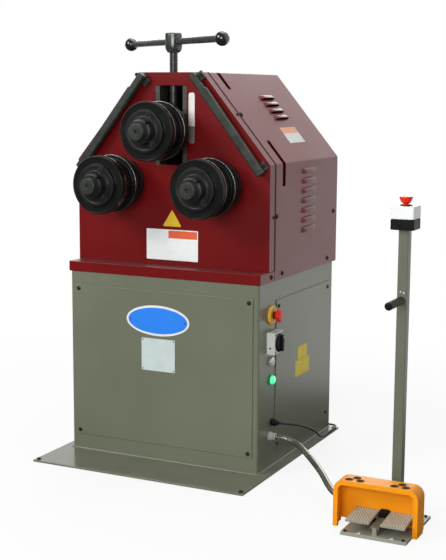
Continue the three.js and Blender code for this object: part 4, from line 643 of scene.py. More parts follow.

# Inside, a near-black plate under each row on the shoulders keeps chips and drips off the gears,
# and its colour is painted shade for the dark inside the louvres. A folded strip, sprayed with
# the cover, keeps them off behind the slots.
SIDES = (("left", -1), ("right", 1))
# Near black: painted shade seen through the shoulder louvres.
louvre_shade_black = painted("louvre_shade_black", "red_paint", srgb(22, 20, 20), 0.6, dust=0.0, wear=0.1)
slot_red = painted("slot_red", "red_paint", srgb(112, 34, 36), 0.5, dust=0.0, wear=0.1)
for name, side in SIDES:
    spot, along, out = on_shoulder(side, 80, HEAD_FRONT + 222, -16)
    place = stand(spot, BACKWARD, along, out)
    slab(f"{name}_louvre_baffle", rectangle(0, 0, 182, 136, 2), 1.5, place, louvre_shade_black, 0)


def folded(name, corners, section, material):
    """A strip laid along a bent line in XZ: section holds (y, lift off the line) round its edge."""
    loops = []
    for i, (x, z) in enumerate(corners):
        sides = []
        for start, end in ((i - 1, i), (i, i + 1)):
            if 0 <= start and end < len(corners):
                run = Vector(corners[end]) - Vector(corners[start])
                sides.append(Vector((run.y, -run.x)).normalized())
        out = sides[0] if len(sides) == 1 else (sides[0] + sides[1]) / (1 + sides[0].dot(sides[1]))
        loops.append([(x + out.x * lift, y, z + out.y * lift) for y, lift in section])
    strip = bmesh.new()
    add_loops(strip, loops)
    settle(name, strip, material)


BAFFLE_FRONT, BAFFLE_BACK, BAFFLE_OUTER, BAFFLE_INNER = -108, 12, -7.5, -9
section = [(BAFFLE_FRONT, BAFFLE_INNER), (BAFFLE_FRONT, BAFFLE_OUTER),
           (BAFFLE_BACK, BAFFLE_OUTER), (BAFFLE_BACK, BAFFLE_INNER)]
bend = [(HEAD_X, 850), (HEAD_X, SHOULDER_Z), (TOP_HALF, HEAD_TOP), (62, HEAD_TOP)]
folded("right_slot_baffle", bend, section, slot_red)
folded("left_slot_baffle", [(-x, z) for x, z in reversed(bend)], section, slot_red)

# A dark rubber strip fills the seam between the front plate and the cover; its dark colour
# is also painted shade for the gap between them.
seam_shade_rubber = moulded("seam_shade_rubber", "cable_rubber", srgb(40, 16, 18), 0.6, Specular_IOR_Level=0.12)
SEAL_FRONT, SEAL_BACK = -118.5, -109.5
corners = [(HEAD_X, TRAY_TOP + 0.4), (HEAD_X, SHOULDER_Z), (TOP_HALF, HEAD_TOP)]
corners += [(-x, z) for x, z in reversed(corners)]
section = [(SEAL_FRONT, -0.6), (SEAL_FRONT, 0.3), (SEAL_FRONT + 0.8, 0.7),
           (SEAL_BACK - 0.8, 0.7), (SEAL_BACK, 0.3), (SEAL_BACK, -0.6)]
folded("cover_seam_seal", corners, section, seam_shade_rubber)

cover_screw = machined("cover_screw", "black_steel", srgb(32, 22, 23), 0.4, wear=0.25, specular=0.2)
SLOPE_SCREW, SIDE_SCREWS = 163, ((-101, 785), (-54, 606), (-137, 604), (330, 606), (380, 760))
REAR_SCREWS = ((315, 640), (315, 900), (150, 1150))
seam, dowels = [], []
for side in (-1, 1):
    for row, y in ((seam, -100), (dowels, -128)):
        spot, _, out = on_shoulder(side, SLOPE_SCREW, y)
        row.append((spot, out))
    dowels.append(((side * HEAD_X, -127, 784), (side, 0, 0)))
    seam += [((side * HEAD_X, y, z), (side, 0, 0)) for y, z in SIDE_SCREWS]
for side in (-1, 1):
    seam += [((side * x, REAR_FACE, z), BACKWARD) for x, z in REAR_SCREWS]
screws("cover_screws", seam, pan_head(7.8, 3.5), cover_screw)
screws("seam_dowels", dowels, pan_head(5.4, 2.4), cover_screw)

# Plates on the head
# Vinyl labels without print, in the colours of the real ones, and a bare scale strip beside
# the slide, white above and etched grey below, with plain graduations.
label_yellow = vinyl("label_yellow", "yellow_plastic", srgb(240, 200, 40))
label_white = vinyl("label_white", "white_plastic", srgb(249, 255, 253), 0.3)
label_orange = vinyl("label_orange", "white_plastic", srgb(240, 104, 62))
shoulder_white = vinyl("shoulder_white", "white_plastic", srgb(240, 244, 242),
                       second=srgb(246, 160, 110), split_at=1.0262)
scale_metal = vinyl("scale_metal", "white_plastic", srgb(134, 120, 118),
                    second=srgb(246, 244, 240), split_at=1.052)
scale_ink = vinyl("scale_ink", "black_plastic", srgb(40, 40, 40))
HEAD_FACE = facing((0, HEAD_FRONT, 0), FRONTWARD)
triangle = [(-25, 742), (34, 742), (36, 744.5), (6.5, 792), (3.5, 792), (-27, 744.5)]
slab("front_triangle", triangle, 0.4, HEAD_FACE, label_yellow, 0.15)
slab("front_label", rectangle(-86, 636, 95, 732, 2), 0.4, HEAD_FACE, label_white, 0.15)
slab("front_label_band", rectangle(-8, 705, 92, 729, 1), 0.6, HEAD_FACE, label_orange, 0.1)
slab("scale_strip", rectangle(62.5, 1000, 83, 1153, 7), 1.5, HEAD_FACE, scale_metal, 0.3)


def brick(shape, low, high):
    """Adds a block between its lowest and highest corners in mm."""
    low, high = Vector(low) * MM, Vector(high) * MM
    matrix = Matrix.Translation((low + high) / 2) @ Matrix.Diagonal((*(high - low), 1))
    bmesh.ops.create_cube(shape, size=1, matrix=matrix)


TICK_X, TICK_Z, TICK_PITCH, TICK_FRONT = 64.5, 1012, 5, HEAD_FRONT - 1.6
ticks = bmesh.new()
for i in range(26):
    end, z = TICK_X + (9 if i % 5 == 0 else 5), TICK_Z + TICK_PITCH * i
    brick(ticks, (TICK_X, TICK_FRONT, z), (end, TICK_FRONT + 0.3, z + 0.6))
settle("scale_graduations", ticks, scale_ink)
origin, along, out = on_shoulder(1, 0, 0)
place = stand(origin, BACKWARD, -along, out)
slab("shoulder_label", rectangle(105, -283, 230, -221, 2), 0.4, place, shoulder_white, 0.15)

# Guide bars
# Planed steel bars along the shoulders, stood off the plate on feet, with an ear and a socket
# screw at each end. They are blackened, and their edges are painted light grey, as wear and as a
# painted highlight along the ridges.


def rounded(profile, radius, steps=3):
    """The same profile with each corner rounded, as a tool or a mould leaves it."""
    ring_shape = profile[0] == profile[-1]
    base = profile[:-1] if ring_shape else profile
    out = []
    for i, spot in enumerate(base):
        if not ring_shape and i in (0, len(base) - 1):
            out.append(spot)
            continue
        here = Vector(spot[:2])
        before = Vector(base[i - 1][:2]) - here
        after = Vector(base[(i + 1) % len(base)][:2]) - here
        bend = pi - before.angle(after)
        reach = min(radius, 0.45 * before.length, 0.45 * after.length)
        if bend < radians(8) or reach < 0.02:
            out.append(spot)
            continue
        start, end = here + before.normalized() * reach, here + after.normalized() * reach
        for k in range(steps + 1):
            t = k / steps
            mid = start * (1 - t) ** 2 + here * 2 * t * (1 - t) + end * t * t
            out.append((mid.x, mid.y, *spot[2:]))
    return out + [out[0]] if ring_shape else out


def socket_head(radius, height):
    """A low round head with a hexagon socket, standing on local Z 0."""
    key = radius * 0.52
    skin = rounded([(0, -2), (radius, -2), (radius, height), (key, height)], radius * 0.22)
    well = [(key + 0.25, height), (key, height - 0.25, 6), (key, height * 0.35, 6), (0, height * 0.3)]
    return lathe(skin[:-1] + well, 24)


# Their light edge colour is wear and painted highlight together.
guide_steel = machined("guide_steel", "bar_steel", srgb(60, 64, 58), 0.4, 0.35, marks=0.1,
                       bright=srgb(176, 182, 170), wear=1.2)
softened("left_guide_bar", 1.6, guide_steel)
softened("right_guide_bar", 1.6, guide_steel)
BAR_HIGH, BAR_LOW, BAR_LENGTH = (85.47, 1208.22), (314.6, 914.95), 372
EAR_FRONT, EAR_IN, EAR_OUT = -165.3, 17, 19
lean = atan2(BAR_LOW[1] - BAR_HIGH[1], BAR_LOW[0] - BAR_HIGH[0])
ear_screws = []
for side in (-1, 1):
    for reach in (EAR_IN, BAR_LENGTH - EAR_IN):
        x = BAR_HIGH[0] + reach * cos(lean) - EAR_OUT * sin(lean)
        z = BAR_HIGH[1] + reach * sin(lean) + EAR_OUT * cos(lean)
        ear_screws.append(((side * x, EAR_FRONT, z), FRONTWARD))
screws("guide_bar_screws", ear_screws, socket_head(6, 6), black_screw)

# Lower roller stations
# Each is a cast housing bolted through the plate, a ground shaft, a grooved roller of
# hardened black steel with rolled flange edges, a retaining disc on three socket screws
# and a slotted ring nut. The rings are turned and oiled. Their lighter edges are wear and painted
# highlight, and thin bright steel rings in the flange edges are a painted highlight for the rim glints.
LOWER_Z, LOWER_X, UPPER_Z = 874, 168, 1039
ROLLER_FRONT, ROLLER_BACK, ROLLER_RADIUS = -312, -210, 89
DISC_FRONT, DISC_DEPTH = -324.3, 12
NUT_FRONT, NUT_BACK, NUT_RADIUS, NUT_SLOTS, SLOT_WIDE, SLOT_DEEP = -352.6, -324.6, 36.5, 4, 8, 4
SHAFT_FRONT, SHAFT_RADIUS, COLLAR_RADIUS, COLLAR_BACK, BORE = -372, 25, 34, -200.6, 25.3
# The roller's and disc's lighter edges are painted highlight on the rims as well as wear.
roller_black = machined("roller_black", "black_steel", srgb(22, 24, 22), 0.26, marks=0.14,
                        bright=srgb(150, 152, 146), specular=0.17, oily=0.1)
disc_black = machined("disc_black", "black_steel", srgb(24, 26, 24), 0.34, marks=0.3,
                      bright=srgb(112, 115, 110), wear=0.7, specular=0.35, oily=0.1)
# Bright steel for the thin rings in the flange edges: a painted highlight.
rim_highlight_steel = machined("rim_highlight_steel", "bar_steel", srgb(150, 152, 146), 0.3, 1.0, marks=0.1, wear=0.2)
shaft_steel = machined("shaft_steel", "ground_steel", srgb(58, 61, 56), 0.34, 0.4, marks=0.4, wear=0.8)
housing_black = machined("housing_black", "cast_iron", srgb(30, 32, 31), 0.45, marks=0.15, wear=0.4)
AXES = {
    "X": Matrix.Rotation(pi / 2, 4, "Y"),
    "-X": Matrix.Rotation(-pi / 2, 4, "Y"),
    "Y": Matrix.Rotation(-pi / 2, 4, "X"),
    "Z": Matrix.Identity(4),
}


def seat(axis, centre):
    """The place at centre (mm) of a piece whose own Z lies along this axis."""
    return Matrix.Translation(Vector(centre) * MM) @ AXES[axis]


def spun(name, axis, centre, profile, material, soft=1.0, sides=96, extras=(), body="machine"):
    """A piece turned about an axis through centre (mm), from (radius, place along that axis),
    its corners rounded by soft mm, with extras as (loops, place) in its own frame."""
    shape = bmesh.new()
    add_loops(shape, lathe(rounded(profile, soft) if soft else profile, sides))
    for loops, place in extras:
        add_loops(shape, loops, place)
    return settle(name, shape, material, body, place=seat(axis, centre))


def cap_screw(radius, height):
    """A cap screw's head for a well, its hexagon open to the front."""
    return lathe([(0, -2), (radius, -2), (radius, height - 0.6), (radius - 0.6, height),
                  (radius * 0.62, height), (radius * 0.58, height - 0.3, 6),
                  (radius * 0.58, height * 0.35, 6), (0, height * 0.3)], 24)


def slotted_nut(sides=144):
    """A round nut about local Z with slots in its rim, as loops that step in at each slot."""
    pitch = 2 * pi / NUT_SLOTS
    loops = []
    for radius, y in ((BORE, NUT_BACK), (BORE, NUT_FRONT), (NUT_RADIUS - 2.4, NUT_FRONT),
                      (NUT_RADIUS - 0.6, NUT_FRONT + 0.7), (NUT_RADIUS, NUT_FRONT + 2.4),
                      (NUT_RADIUS, NUT_BACK), (BORE, NUT_BACK)):
        loop = []
        for i in range(sides):
            angle = 2 * pi * i / sides
            slotted = abs(angle % pitch - pitch / 2) * NUT_RADIUS < SLOT_WIDE / 2 and radius > BORE
            reach = min(radius, NUT_RADIUS - SLOT_DEEP) if slotted else radius
            loop.append((reach * cos(angle), reach * sin(angle), y))
        loops.append(loop)
    return loops


front_rim = [(65, 0), (65.6, 0.5), (84, 0.5), (84.6, 0), (86.5, 0), (89, 2.5), (89, 22), (76, 22)]
back_rim = [(76, 22), (89, 22), (89, 2.5), (86.5, 0)]
roller = [(BORE, ROLLER_FRONT)] + [(r, ROLLER_FRONT + depth) for r, depth in front_rim]
roller += [(r, ROLLER_BACK - depth) for r, depth in back_rim]
roller += [(BORE, ROLLER_BACK), (BORE, ROLLER_FRONT)]
disc = [(r, DISC_FRONT + depth) for r, depth in (
    (BORE, 0), (44, 0), (45, 0.5), (53, 0.5), (54, 0), (61.5, 0), (63, 1.5),
    (63, DISC_DEPTH), (BORE, DISC_DEPTH), (BORE, 0))]
shaft = [(0, SHAFT_FRONT + 9), (3.2, SHAFT_FRONT + 4), (7, SHAFT_FRONT), (23, SHAFT_FRONT),
         (SHAFT_RADIUS, SHAFT_FRONT + 2), (SHAFT_RADIUS, ROLLER_BACK + 0.3),
         (COLLAR_RADIUS, ROLLER_BACK + 0.3), (COLLAR_RADIUS, COLLAR_BACK), (SHAFT_RADIUS, COLLAR_BACK)]
RIM_LINE, RIM_INSET, RIM_WIRE = ROLLER_RADIUS - 1, 20.9, 1.3
turns = [2 * pi * k / 10 for k in range(11)]
rims = []
for y in (ROLLER_FRONT + RIM_INSET, ROLLER_BACK - RIM_INSET):
    rims.append([(RIM_LINE + RIM_WIRE * cos(a), y + RIM_WIRE * sin(a)) for a in turns])
WELL_CIRCLE, WELL_RADIUS = 49, 8.6


def roller_set(prefix, centre, body, tail, tail_collar):
    """The pieces that turn with one shaft: shaft, roller, disc with its screws, ring nut."""
    x, z = centre
    at = (x, 0, z)
    end = [(SHAFT_RADIUS, tail)]
    if tail_collar:
        step = tail - tail_collar
        end = [(SHAFT_RADIUS, step), (COLLAR_RADIUS, step), (COLLAR_RADIUS, tail)]
    spun(f"{prefix}_shaft", "Y", at, shaft + end + [(0, tail)], shaft_steel, 0.6)
    spun(f"{prefix}_roller", "Y", at, roller, roller_black, 2.2, 144)
    # The thin bright rings along the flange edges are a painted highlight.
    other = [(lathe(rims[1], 144), Matrix.Identity(4))]
    spun(f"{prefix}_roller_rims", "Y", at, rims[0], rim_highlight_steel, 0, 144, other, body)
    spun(f"{prefix}_disc", "Y", at, disc, disc_black, 0.5, 144)
    wells = bmesh.new()
    well = [(WELL_RADIUS, 1), (WELL_RADIUS, 0.5), (6.6, 0.7), (6.2, -1), (WELL_RADIUS, 1)]
    for i in range(3):
        angle = radians(70 + 120 * i)
        spot = Vector((x + WELL_CIRCLE * cos(angle), DISC_FRONT, z + WELL_CIRCLE * sin(angle)))
        add_loops(wells, lathe(well, 32), aim(spot, FRONTWARD))
        add_loops(wells, cap_screw(5.8, 2.4), aim(spot - FRONTWARD * 2, FRONTWARD, angle))
    settle(f"{prefix}_disc_screws", wells, black_screw, body)
    nut = bmesh.new()
    add_loops(nut, slotted_nut())
    settle(f"{prefix}_ring_nut", nut, disc_black, place=seat("Y", at))


NOSE_FRONT, FLANGE_FRONT, FLANGE_BACK, BARREL_BACK, BOLT_CIRCLE = -200.3, -170.3, -155.3, -20, 60
housing = [(25.6, NOSE_FRONT), (43, NOSE_FRONT), (43, FLANGE_FRONT), (75, FLANGE_FRONT),
           (75, FLANGE_BACK), (55, FLANGE_BACK), (55, BARREL_BACK), (25.6, BARREL_BACK),
           (25.6, NOSE_FRONT)]
flange_screws = []
for i in range(6):
    angle = pi / 6 + pi / 3 * i
    spot = Vector((BOLT_CIRCLE * cos(angle), BOLT_CIRCLE * sin(angle), FLANGE_FRONT))
    flange_screws.append((cap_screw(6, 6), Matrix.Translation(spot) @ Matrix.Rotation(pi, 4, "X")))
for name, side in SIDES:
    x = side * LOWER_X
    spun(f"lower_{name}_housing", "Y", (x, 0, LOWER_Z), housing, housing_black, 1.5, 96, flange_screws)
    roller_set(f"lower_{name}", (x, LOWER_Z), f"{name}_roller_set", 60, 0)

# Upper slide, gibs and roller
# The slide is a casting that runs up and down in the window between two ground gibs. Its
# bored nose carries the third shaft, with the same roller, disc and nut as the lower ones.
slide_iron = machined("slide_iron", "cast_iron", srgb(38, 41, 39), 0.42, marks=0.1, wear=0.6)
gib_steel = machined("gib_steel", "ground_steel", srgb(84, 84, 78), 0.4, 0.3, marks=0.1)
softened("upper_slide", 1.2, slide_iron)
softened("left_slide_gib", 0.7, gib_steel)
softened("right_slide_gib", 0.7, gib_steel)
roller_set("upper", (0, UPPER_Z), "upper_roller_set", -30.1, 14)

# Feed screw and T-handle
# A screw in a bronze nut in the head's bridge moves the slide. Its hub carries a cross bar
# with a black ball at each end. The bar and hub are blacked steel, the balls are moulded.
SCREW_Y, BAR_Z, HANDLE_TURN = -135, 1306, radians(-34.5)
THREAD_FOOT, THREAD_PITCH, THREAD_TURNS, CREST, ROOT = 1090, 4.4, 45, 13, 11.4
screw_steel = machined("screw_steel", "ground_steel", srgb(40, 42, 40), 0.34, 0.4, marks=0.3, oily=0.3)
handle_black = machined("handle_black", "black_steel", srgb(88, 93, 89), 0.2, 0.6, marks=0.06,
                        bright=srgb(170, 175, 170))
bronze = machined("bronze", "bronze", srgb(150, 112, 62), 0.35, 0.8)
ball_black = moulded("ball_black", "black_plastic", srgb(24, 26, 26), 0.18,
                     Coat_Weight=0.7, Coat_Roughness=0.08)
at = (0, SCREW_Y, 0)
thread = [(0, 1064.2), (8, 1064.2), (9, 1065.2), (9, 1089), (CREST, 1089.3)]
for i in range(THREAD_TURNS):
    z = THREAD_FOOT + THREAD_PITCH * i
    thread += [(CREST, z), (CREST, z + 2.0), (ROOT, z + 2.4), (ROOT, z + 4.0)]
thread += [(CREST, 1289), (12, 1291.2), (0, 1291.2)]
spun("feed_screw", "Z", at, thread, screw_steel, 0, 64)
nut = [(13.6, 1174.3), (17.6, 1174.3), (17.6, 1214), (13.6, 1214), (13.6, 1174.3)]
spun("feed_nut", "Z", at, nut, bronze, 0.8, 64)
hub = [(0, 1273), (13.3, 1273), (17, 1273), (20, 1275.5), (23.4, 1280.5), (25.4, 1286), (26, 1291),
       (26, 1329), (24, 1332), (0, 1332)]
pin = lathe([(0, -1), (4.5, -1), (4.5, 0.5), (3.6, 1.2), (0, 1.2)], 24)
spun("handle_hub", "Z", at, hub, handle_black, 0.7, 96, [(pin, Matrix.Translation((0, 0, 1332)))])
HANDLE = Matrix.Translation(Vector(at)) @ Matrix.Rotation(HANDLE_TURN, 4, "Z")
BALL, REACH, BALL_BORE = 21.5, 300, 13
ends = REACH - BALL + BALL_BORE
place = HANDLE @ Matrix.Translation((0, 0, BAR_Z)) @ AXES["X"]
bar = bmesh.new()
add_loops(bar, lathe(rounded([(0, -ends), (10.2, -ends), (10.2, ends), (0, ends)], 1.5), 64), place)
for s in (-1, 1):
    collar = [(10, s * 27), (15, s * 27), (15, s * 33), (10, s * 33), (10, s * 27)]
    add_loops(bar, lathe(rounded(collar, 1), 64), place)
settle("handle_bar", bar, handle_black)
arc = [radians(29 + (180 - 29) * k / 24) for k in range(24)]
skin = [(0, BALL_BORE - BALL), (10.3, BALL_BORE - BALL)]
skin += [(BALL * sin(a), -BALL * cos(a)) for a in arc] + [(0, BALL)]
for name, side in SIDES:
    knob = bmesh.new()
    place = HANDLE @ Matrix.Translation((side * REACH, 0, BAR_Z)) @ Matrix.Rotation(side * pi / 2, 4, "Y")
    add_loops(knob, lathe(skin, 64), place)
    settle(f"{name}_ball_knob", knob, ball_black, crease=50)

# Drive inside the cover
# A gear on each lower shaft, a pinion between them, a worm reducer and a flanged motor with
# cooling fins and a cowl over its fan. Cast and sprayed grey, the teeth bright with grease.
gear_iron = machined("gear_iron", "cast_iron", srgb(96, 96, 90), 0.4, 0.6, oily=0.4)
motor_paint = painted("motor_paint", "motor_paint", srgb(92, 98, 100), 0.45, dust=0.35)
softened("lower_left_gear", 0.5, gear_iron)
softened("lower_right_gear", 0.5, gear_iron)
softened("drive_pinion", 0.5, gear_iron)
softened("gear_reducer", 3, motor_paint)
PINION_Z, FIN_PITCH, COWL_BACK = 765.48, 8, 397.3
motor = [(0, 190.3), (88, 190.3), (88, 202.3), (76, 202.3), (76, 212)]
for i in range(17):
    y = 213 + FIN_PITCH * i
    motor += [(70, y), (70, y + 4), (76, y + 5), (76, y + 7)]
motor += [(76, 353), (76, 355.3), (80, 355.3), (80, COWL_BACK - 8), (72, COWL_BACK)]
for outer, inner in ((60, 55), (45, 40)):
    motor += [(outer, COWL_BACK), (outer, COWL_BACK - 2.3), (inner, COWL_BACK - 2.3), (inner, COWL_BACK)]
spun("drive_motor", "Y", (0, 0, PINION_Z), motor + [(0, COWL_BACK)], motor_paint, 0.5, 72)

# Controls on the right side
# From the top: emergency stop on a yellow collar, isolator with a rotary knob, key switch
# and a green lamp. Moulded plastic and zinc, each held through the wall by a ring nut.
WALL, CONTROL_Y = 330.3, -124
ESTOP_Z, ISOLATOR_Z, KEY_Z, LAMP_Z = 486, 403, 341, 284
collar_yellow = moulded("collar_yellow", "yellow_plastic", srgb(232, 186, 66), 0.4)
stop_red = moulded("stop_red", "red_plastic", srgb(238, 40, 8), 0.34, Coat_Weight=0.1,
                   Specular_IOR_Level=0.3)
black_plastic = moulded("black_plastic", "black_plastic", srgb(13, 14, 13), 0.48, Specular_IOR_Level=0.18)
isolator_grey = moulded("isolator_grey", "grey_plastic", srgb(224, 229, 222), 0.4)
zinc = machined("zinc", "zinc", srgb(206, 210, 208), 0.34, 0.5)


def on_wall(name, z, profile, material, soft, sides=96):
    """A control turned about its own axis, from (radius, height off the wall)."""
    spun(name, "X", (WALL, CONTROL_Y, z), profile, material, soft, sides)


collar = [(0, 0), (30, 0), (30, 7), (26, 10), (9.1, 10), (9.1, 2), (0, 2)]
on_wall("estop_collar", ESTOP_Z, collar, collar_yellow, 1.2)
button = [(0, 7.3), (8.5, 7.3), (8.5, 19), (17, 19), (20, 22), (20, 28), (18.6, 31.2), (14, 33.2),
          (8, 34), (0, 34)]
on_wall("estop_button", ESTOP_Z, button, stop_red, 1.0)
stem = [(8.6, 10.2), (12, 10.2), (12, 14), (8.6, 14), (8.6, 10.2)]
on_wall("estop_stem_ring", ESTOP_Z, stem, black_plastic, 0.5)

softened("isolator_box", 4, isolator_grey, steps=3)
knob = [(0, 20), (6, 20), (6, 27.3), (28.5, 27.3), (28.5, 31.3), (26, 34.3), (0, 34.3)]
on_wall("isolator_knob", ISOLATOR_Z, knob, black_plastic, 0.8)
place = facing((WALL + 34, CONTROL_Y, ISOLATOR_Z), RIGHTWARD)
slab("isolator_grip", rectangle(-6, -26, 6, 26, 5), 8.3, place, black_plastic, 1.6, "isolator")
place = facing((WALL + 42.2, CONTROL_Y, ISOLATOR_Z), RIGHTWARD)
pointer = rectangle(-1.2, 14, 1.2, 24, 1)
slab("isolator_pointer", pointer, 0.5, place, isolator_grey, 0.1, "isolator")
box_face = [(CONTROL_Y + y, ISOLATOR_Z + z) for y, z in four_corners(26.5, 26.5)]
box_screws = [((WALL + 27, y, z), RIGHTWARD) for y, z in box_face]
box_screws.append(((WALL + 12, CONTROL_Y - 33.3, ISOLATOR_Z - 14), FRONTWARD))
screws("isolator_screws", box_screws, pan_head(3, 1.2), black_screw)

barrel = [(0, 0), (15.2, 0), (15.2, 7), (10.8, 10.4), (8.4, 10.8), (8.2, 9.8), (5, 9.8), (4.8, 11),
          (0, 11)]
on_wall("key_switch", KEY_Z, barrel, zinc, 0.5, 72)
place = facing((WALL + 10.9, CONTROL_Y, KEY_Z), RIGHTWARD)
slab("key_slot", rectangle(-0.8, -4, 0.8, 4, 0.4), 0.3, place, black_plastic, 0)

lens_green, tree, shader = finish("lens_green", "green_lens", srgb(40, 200, 120), Roughness=0.15,
                                  Coat_Weight=0.6, Emission_Strength=1.5)
facets = tree.nodes.new("ShaderNodeTexVoronoi")
facets.inputs["Scale"].default_value = 260
wire(tree, object_place(tree), facets.inputs["Vector"])
rib = spread_node(tree, facets.outputs["Distance"], 0, 0.6, 0, 1)
glow = mix_node(tree, rib, srgb(150, 255, 205), srgb(16, 190, 110))
wire(tree, glow, shader.inputs["Base Color"])
wire(tree, glow, shader.inputs["Emission Color"])
raise_grain(tree, shader, facets.outputs["Distance"], 0.001, 0.3)
lamp_green = moulded("lamp_green", "green_lens", srgb(20, 130, 82), 0.35,
                     Emission_Color=srgb(24, 190, 116), Emission_Strength=0.12)
bezel = [(13.6, 0.1), (16.2, 0.1), (16.2, 3.5), (15.2, 5), (13.6, 5), (13.6, 0.1)]
on_wall("lamp_bezel", LAMP_Z, bezel, lamp_green, 0.5)
dome = [(0, 0.5), (13.5, 0.5), (13.5, 9), (12.6, 12), (9.5, 14), (5, 14.8), (0, 15)]
on_wall("power_lamp", LAMP_Z, dome, lens_green, 0.8, 72)

# Cords: conduit to the pedals, mains cable with its stored coil and plug
# The conduit is steel wound in a ribbed skin, stiff enough to run free of the floor. The mains
# cable is rubber sheathed, lies round the plate's corner and is coiled up behind the machine.


def smooth_route(points, step):
    """Points in mm at about the step along a centripetal Catmull-Rom curve through the points."""
    points = [Vector(p) for p in points]
    points = [points[0] * 2 - points[1]] + points + [points[-1] * 2 - points[-2]]
    out = []
    for a, b, c, d in zip(points, points[1:], points[2:], points[3:]):
        t = [0]
        for p, q in ((a, b), (b, c), (c, d)):
            t.append(t[-1] + sqrt((q - p).length))
        count = max(1, round((c - b).length / step))
        for i in range(count):
            u = t[1] + (t[2] - t[1]) * i / count
            one = a.lerp(b, (u - t[0]) / (t[1] - t[0]))
            two = b.lerp(c, (u - t[1]) / (t[2] - t[1]))
            three = c.lerp(d, (u - t[2]) / (t[3] - t[2]))
            four = one.lerp(two, (u - t[0]) / (t[2] - t[0]))
            five = two.lerp(three, (u - t[1]) / (t[3] - t[1]))
            out.append(four.lerp(five, (u - t[1]) / (t[2] - t[1])))
    return out + [points[-2]]


def sweep(name, path, radius_at, sides, material, also=()):
    """A tube along a path in mm; its radius follows the distance along it."""
    across = UP.cross(path[1] - path[0]).normalized()
    angles = [2 * pi * k / sides for k in range(sides)]
    gone, loops = 0.0, []
    for i, spot in enumerate(path):
        along = (path[min(i + 1, len(path) - 1)] - path[max(i - 1, 0)]).normalized()
        across = (across - along * across.dot(along)).normalized()
        lift = along.cross(across)
        if i:
            gone += (spot - path[i - 1]).length
        size = radius_at(gone)
        loops.append([spot + (across * cos(a) + lift * sin(a)) * size for a in angles])
    shape = bmesh.new()
    add_loops(shape, loops)
    return settle(name, shape, material, also=also, crease=60)


conduit_skin, tree, shader = finish("conduit_skin", "conduit_skin", srgb(150, 148, 138), Metallic=0.9)
place = object_place(tree)
grimy = noise_node(tree, place, 12, 4)
dull = spread_node(tree, grimy, 0.35, 0.7, 0, 1)
wire(tree, mix_node(tree, dull, srgb(150, 148, 140), srgb(188, 186, 178)), shader.inputs["Base Color"])
wire(tree, spread_node(tree, grimy, 0.3, 0.7, 0.2, 0.3), shader.inputs["Roughness"])
raise_grain(tree, shader, noise_node(tree, place, 700, 2), 0.0003, 0.15)
cable_rubber = moulded("cable_rubber", "cable_rubber", srgb(24, 24, 24), 0.5)

CONDUIT_RADIUS, RIB_PITCH, RIB_DEPTH = 9.5, 4.2, 0.35
CONDUIT = [(354.6, -131, 107), (374.6, -131, 107), (403.4, -137, 104.6), (434, -153, 100.6),
           (462.3, -178.6, 96), (489.7, -207.9, 91.2), (516.8, -238, 86.1), (543.4, -268.3, 80.8),
           (569, -299.4, 75.2), (593.3, -331.6, 69.5), (616.5, -364, 63.5), (641.9, -391.7, 57.4),
           (671.6, -408.4, 52), (700.7, -414.7, 48.7), (720.7, -414.7, 48.7)]


def wound(gone):
    """The conduit's radius, with a groove between the turns of its winding."""
    return CONDUIT_RADIUS - RIB_DEPTH * (0.5 + 0.5 * cos(2 * pi * gone / RIB_PITCH)) ** 2


path = smooth_route(CONDUIT, 1.4)
piece = sweep("pedal_conduit", path, wound, 24, conduit_skin)
fitting = [(0, 0), (14, 0), (14, 1.5), (14, 1.6, 6), (14, 8.6, 6), (13.2, 9), (12, 9), (12, 13),
           (12.6, 13.5, 6), (12.6, 21, 6), (11.5, 21.5), (11.5, 24), (0, 24)]
spun("conduit_fitting", "X", (WALL, *CONDUIT[0][1:]), fitting, zinc, 0.3, 48)

CABLE = 3.5
MAINS = [(354.6, -112, 147), (364.6, -112, 147), (389.6, -100.6, 144.9), (413.8, -77.2, 137.2),
         (428.4, -45.7, 123.9), (431.5, -10.5, 106.9), (426.6, 26.4, 89.2), (417.7, 64.2, 72.5),
         (407.2, 102.8, 57.3), (396, 142.1, 43.6), (384.8, 182.5, 31.6), (374.3, 223.3, 21.6),
         (365.5, 261.4, 14.1), (360, 290, 9.8), (360, 345, 9.8), (359, 374, 9.8), (352, 396, 9.8),
         (337, 412, 7), (318, 424, 4), (303, 438, 3.5), (285, 469, 3.5), (270, 495, 3.5),
         (257.8, 516, 3.5), (250.3, 525, 3.5), (240, 531, 3.5), (228.4, 533, 3.5), (222.3, 533, 3.5)]
COIL_X, COIL_Y, COIL_OUT, COIL_PITCH, LAYERS, TURNS_IN_LAYER, STEPS = 215, 487, 46, 7.6, 4, 1.5, 48
COIL_TOP, COIL_HEART = CABLE + (LAYERS - 1) * COIL_PITCH, 14.9
PLUG_AT = (COIL_X - 24.3, COIL_Y + COIL_OUT, COIL_TOP)
path = smooth_route(MAINS, 4)
for i in range(int(LAYERS * TURNS_IN_LAYER * STEPS) + 1):
    t = i / STEPS
    within = t % (2 * TURNS_IN_LAYER)
    radius = COIL_OUT - COIL_PITCH * min(within, 2 * TURNS_IN_LAYER - within)
    height = CABLE
    for layer in range(1, LAYERS):
        climb = min(max((t - layer * TURNS_IN_LAYER) / 0.5 + 0.5, 0), 1)
        height += COIL_PITCH * climb * climb * (3 - 2 * climb)
    angle = pi / 2 + 2 * pi * t
    path.append(Vector((COIL_X + radius * cos(angle), COIL_Y + radius * sin(angle), height)))
path.append(Vector(PLUG_AT))
piece = sweep("mains_cable", path, lambda gone: CABLE, 16, cable_rubber, ["mains_coil"])

gland = [(0, 0), (12, 0), (12, 1.2), (12, 1.3, 6), (12, 8, 6), (11.4, 8.4), (10.6, 8.6), (10.6, 14),
         (9.2, 15.5), (6.6, 23.6), (4.2, 24), (0, 24)]
gland_piece = spun("cable_gland", "X", (WALL, *MAINS[0][1:]), gland, black_plastic, 0.3, 48)

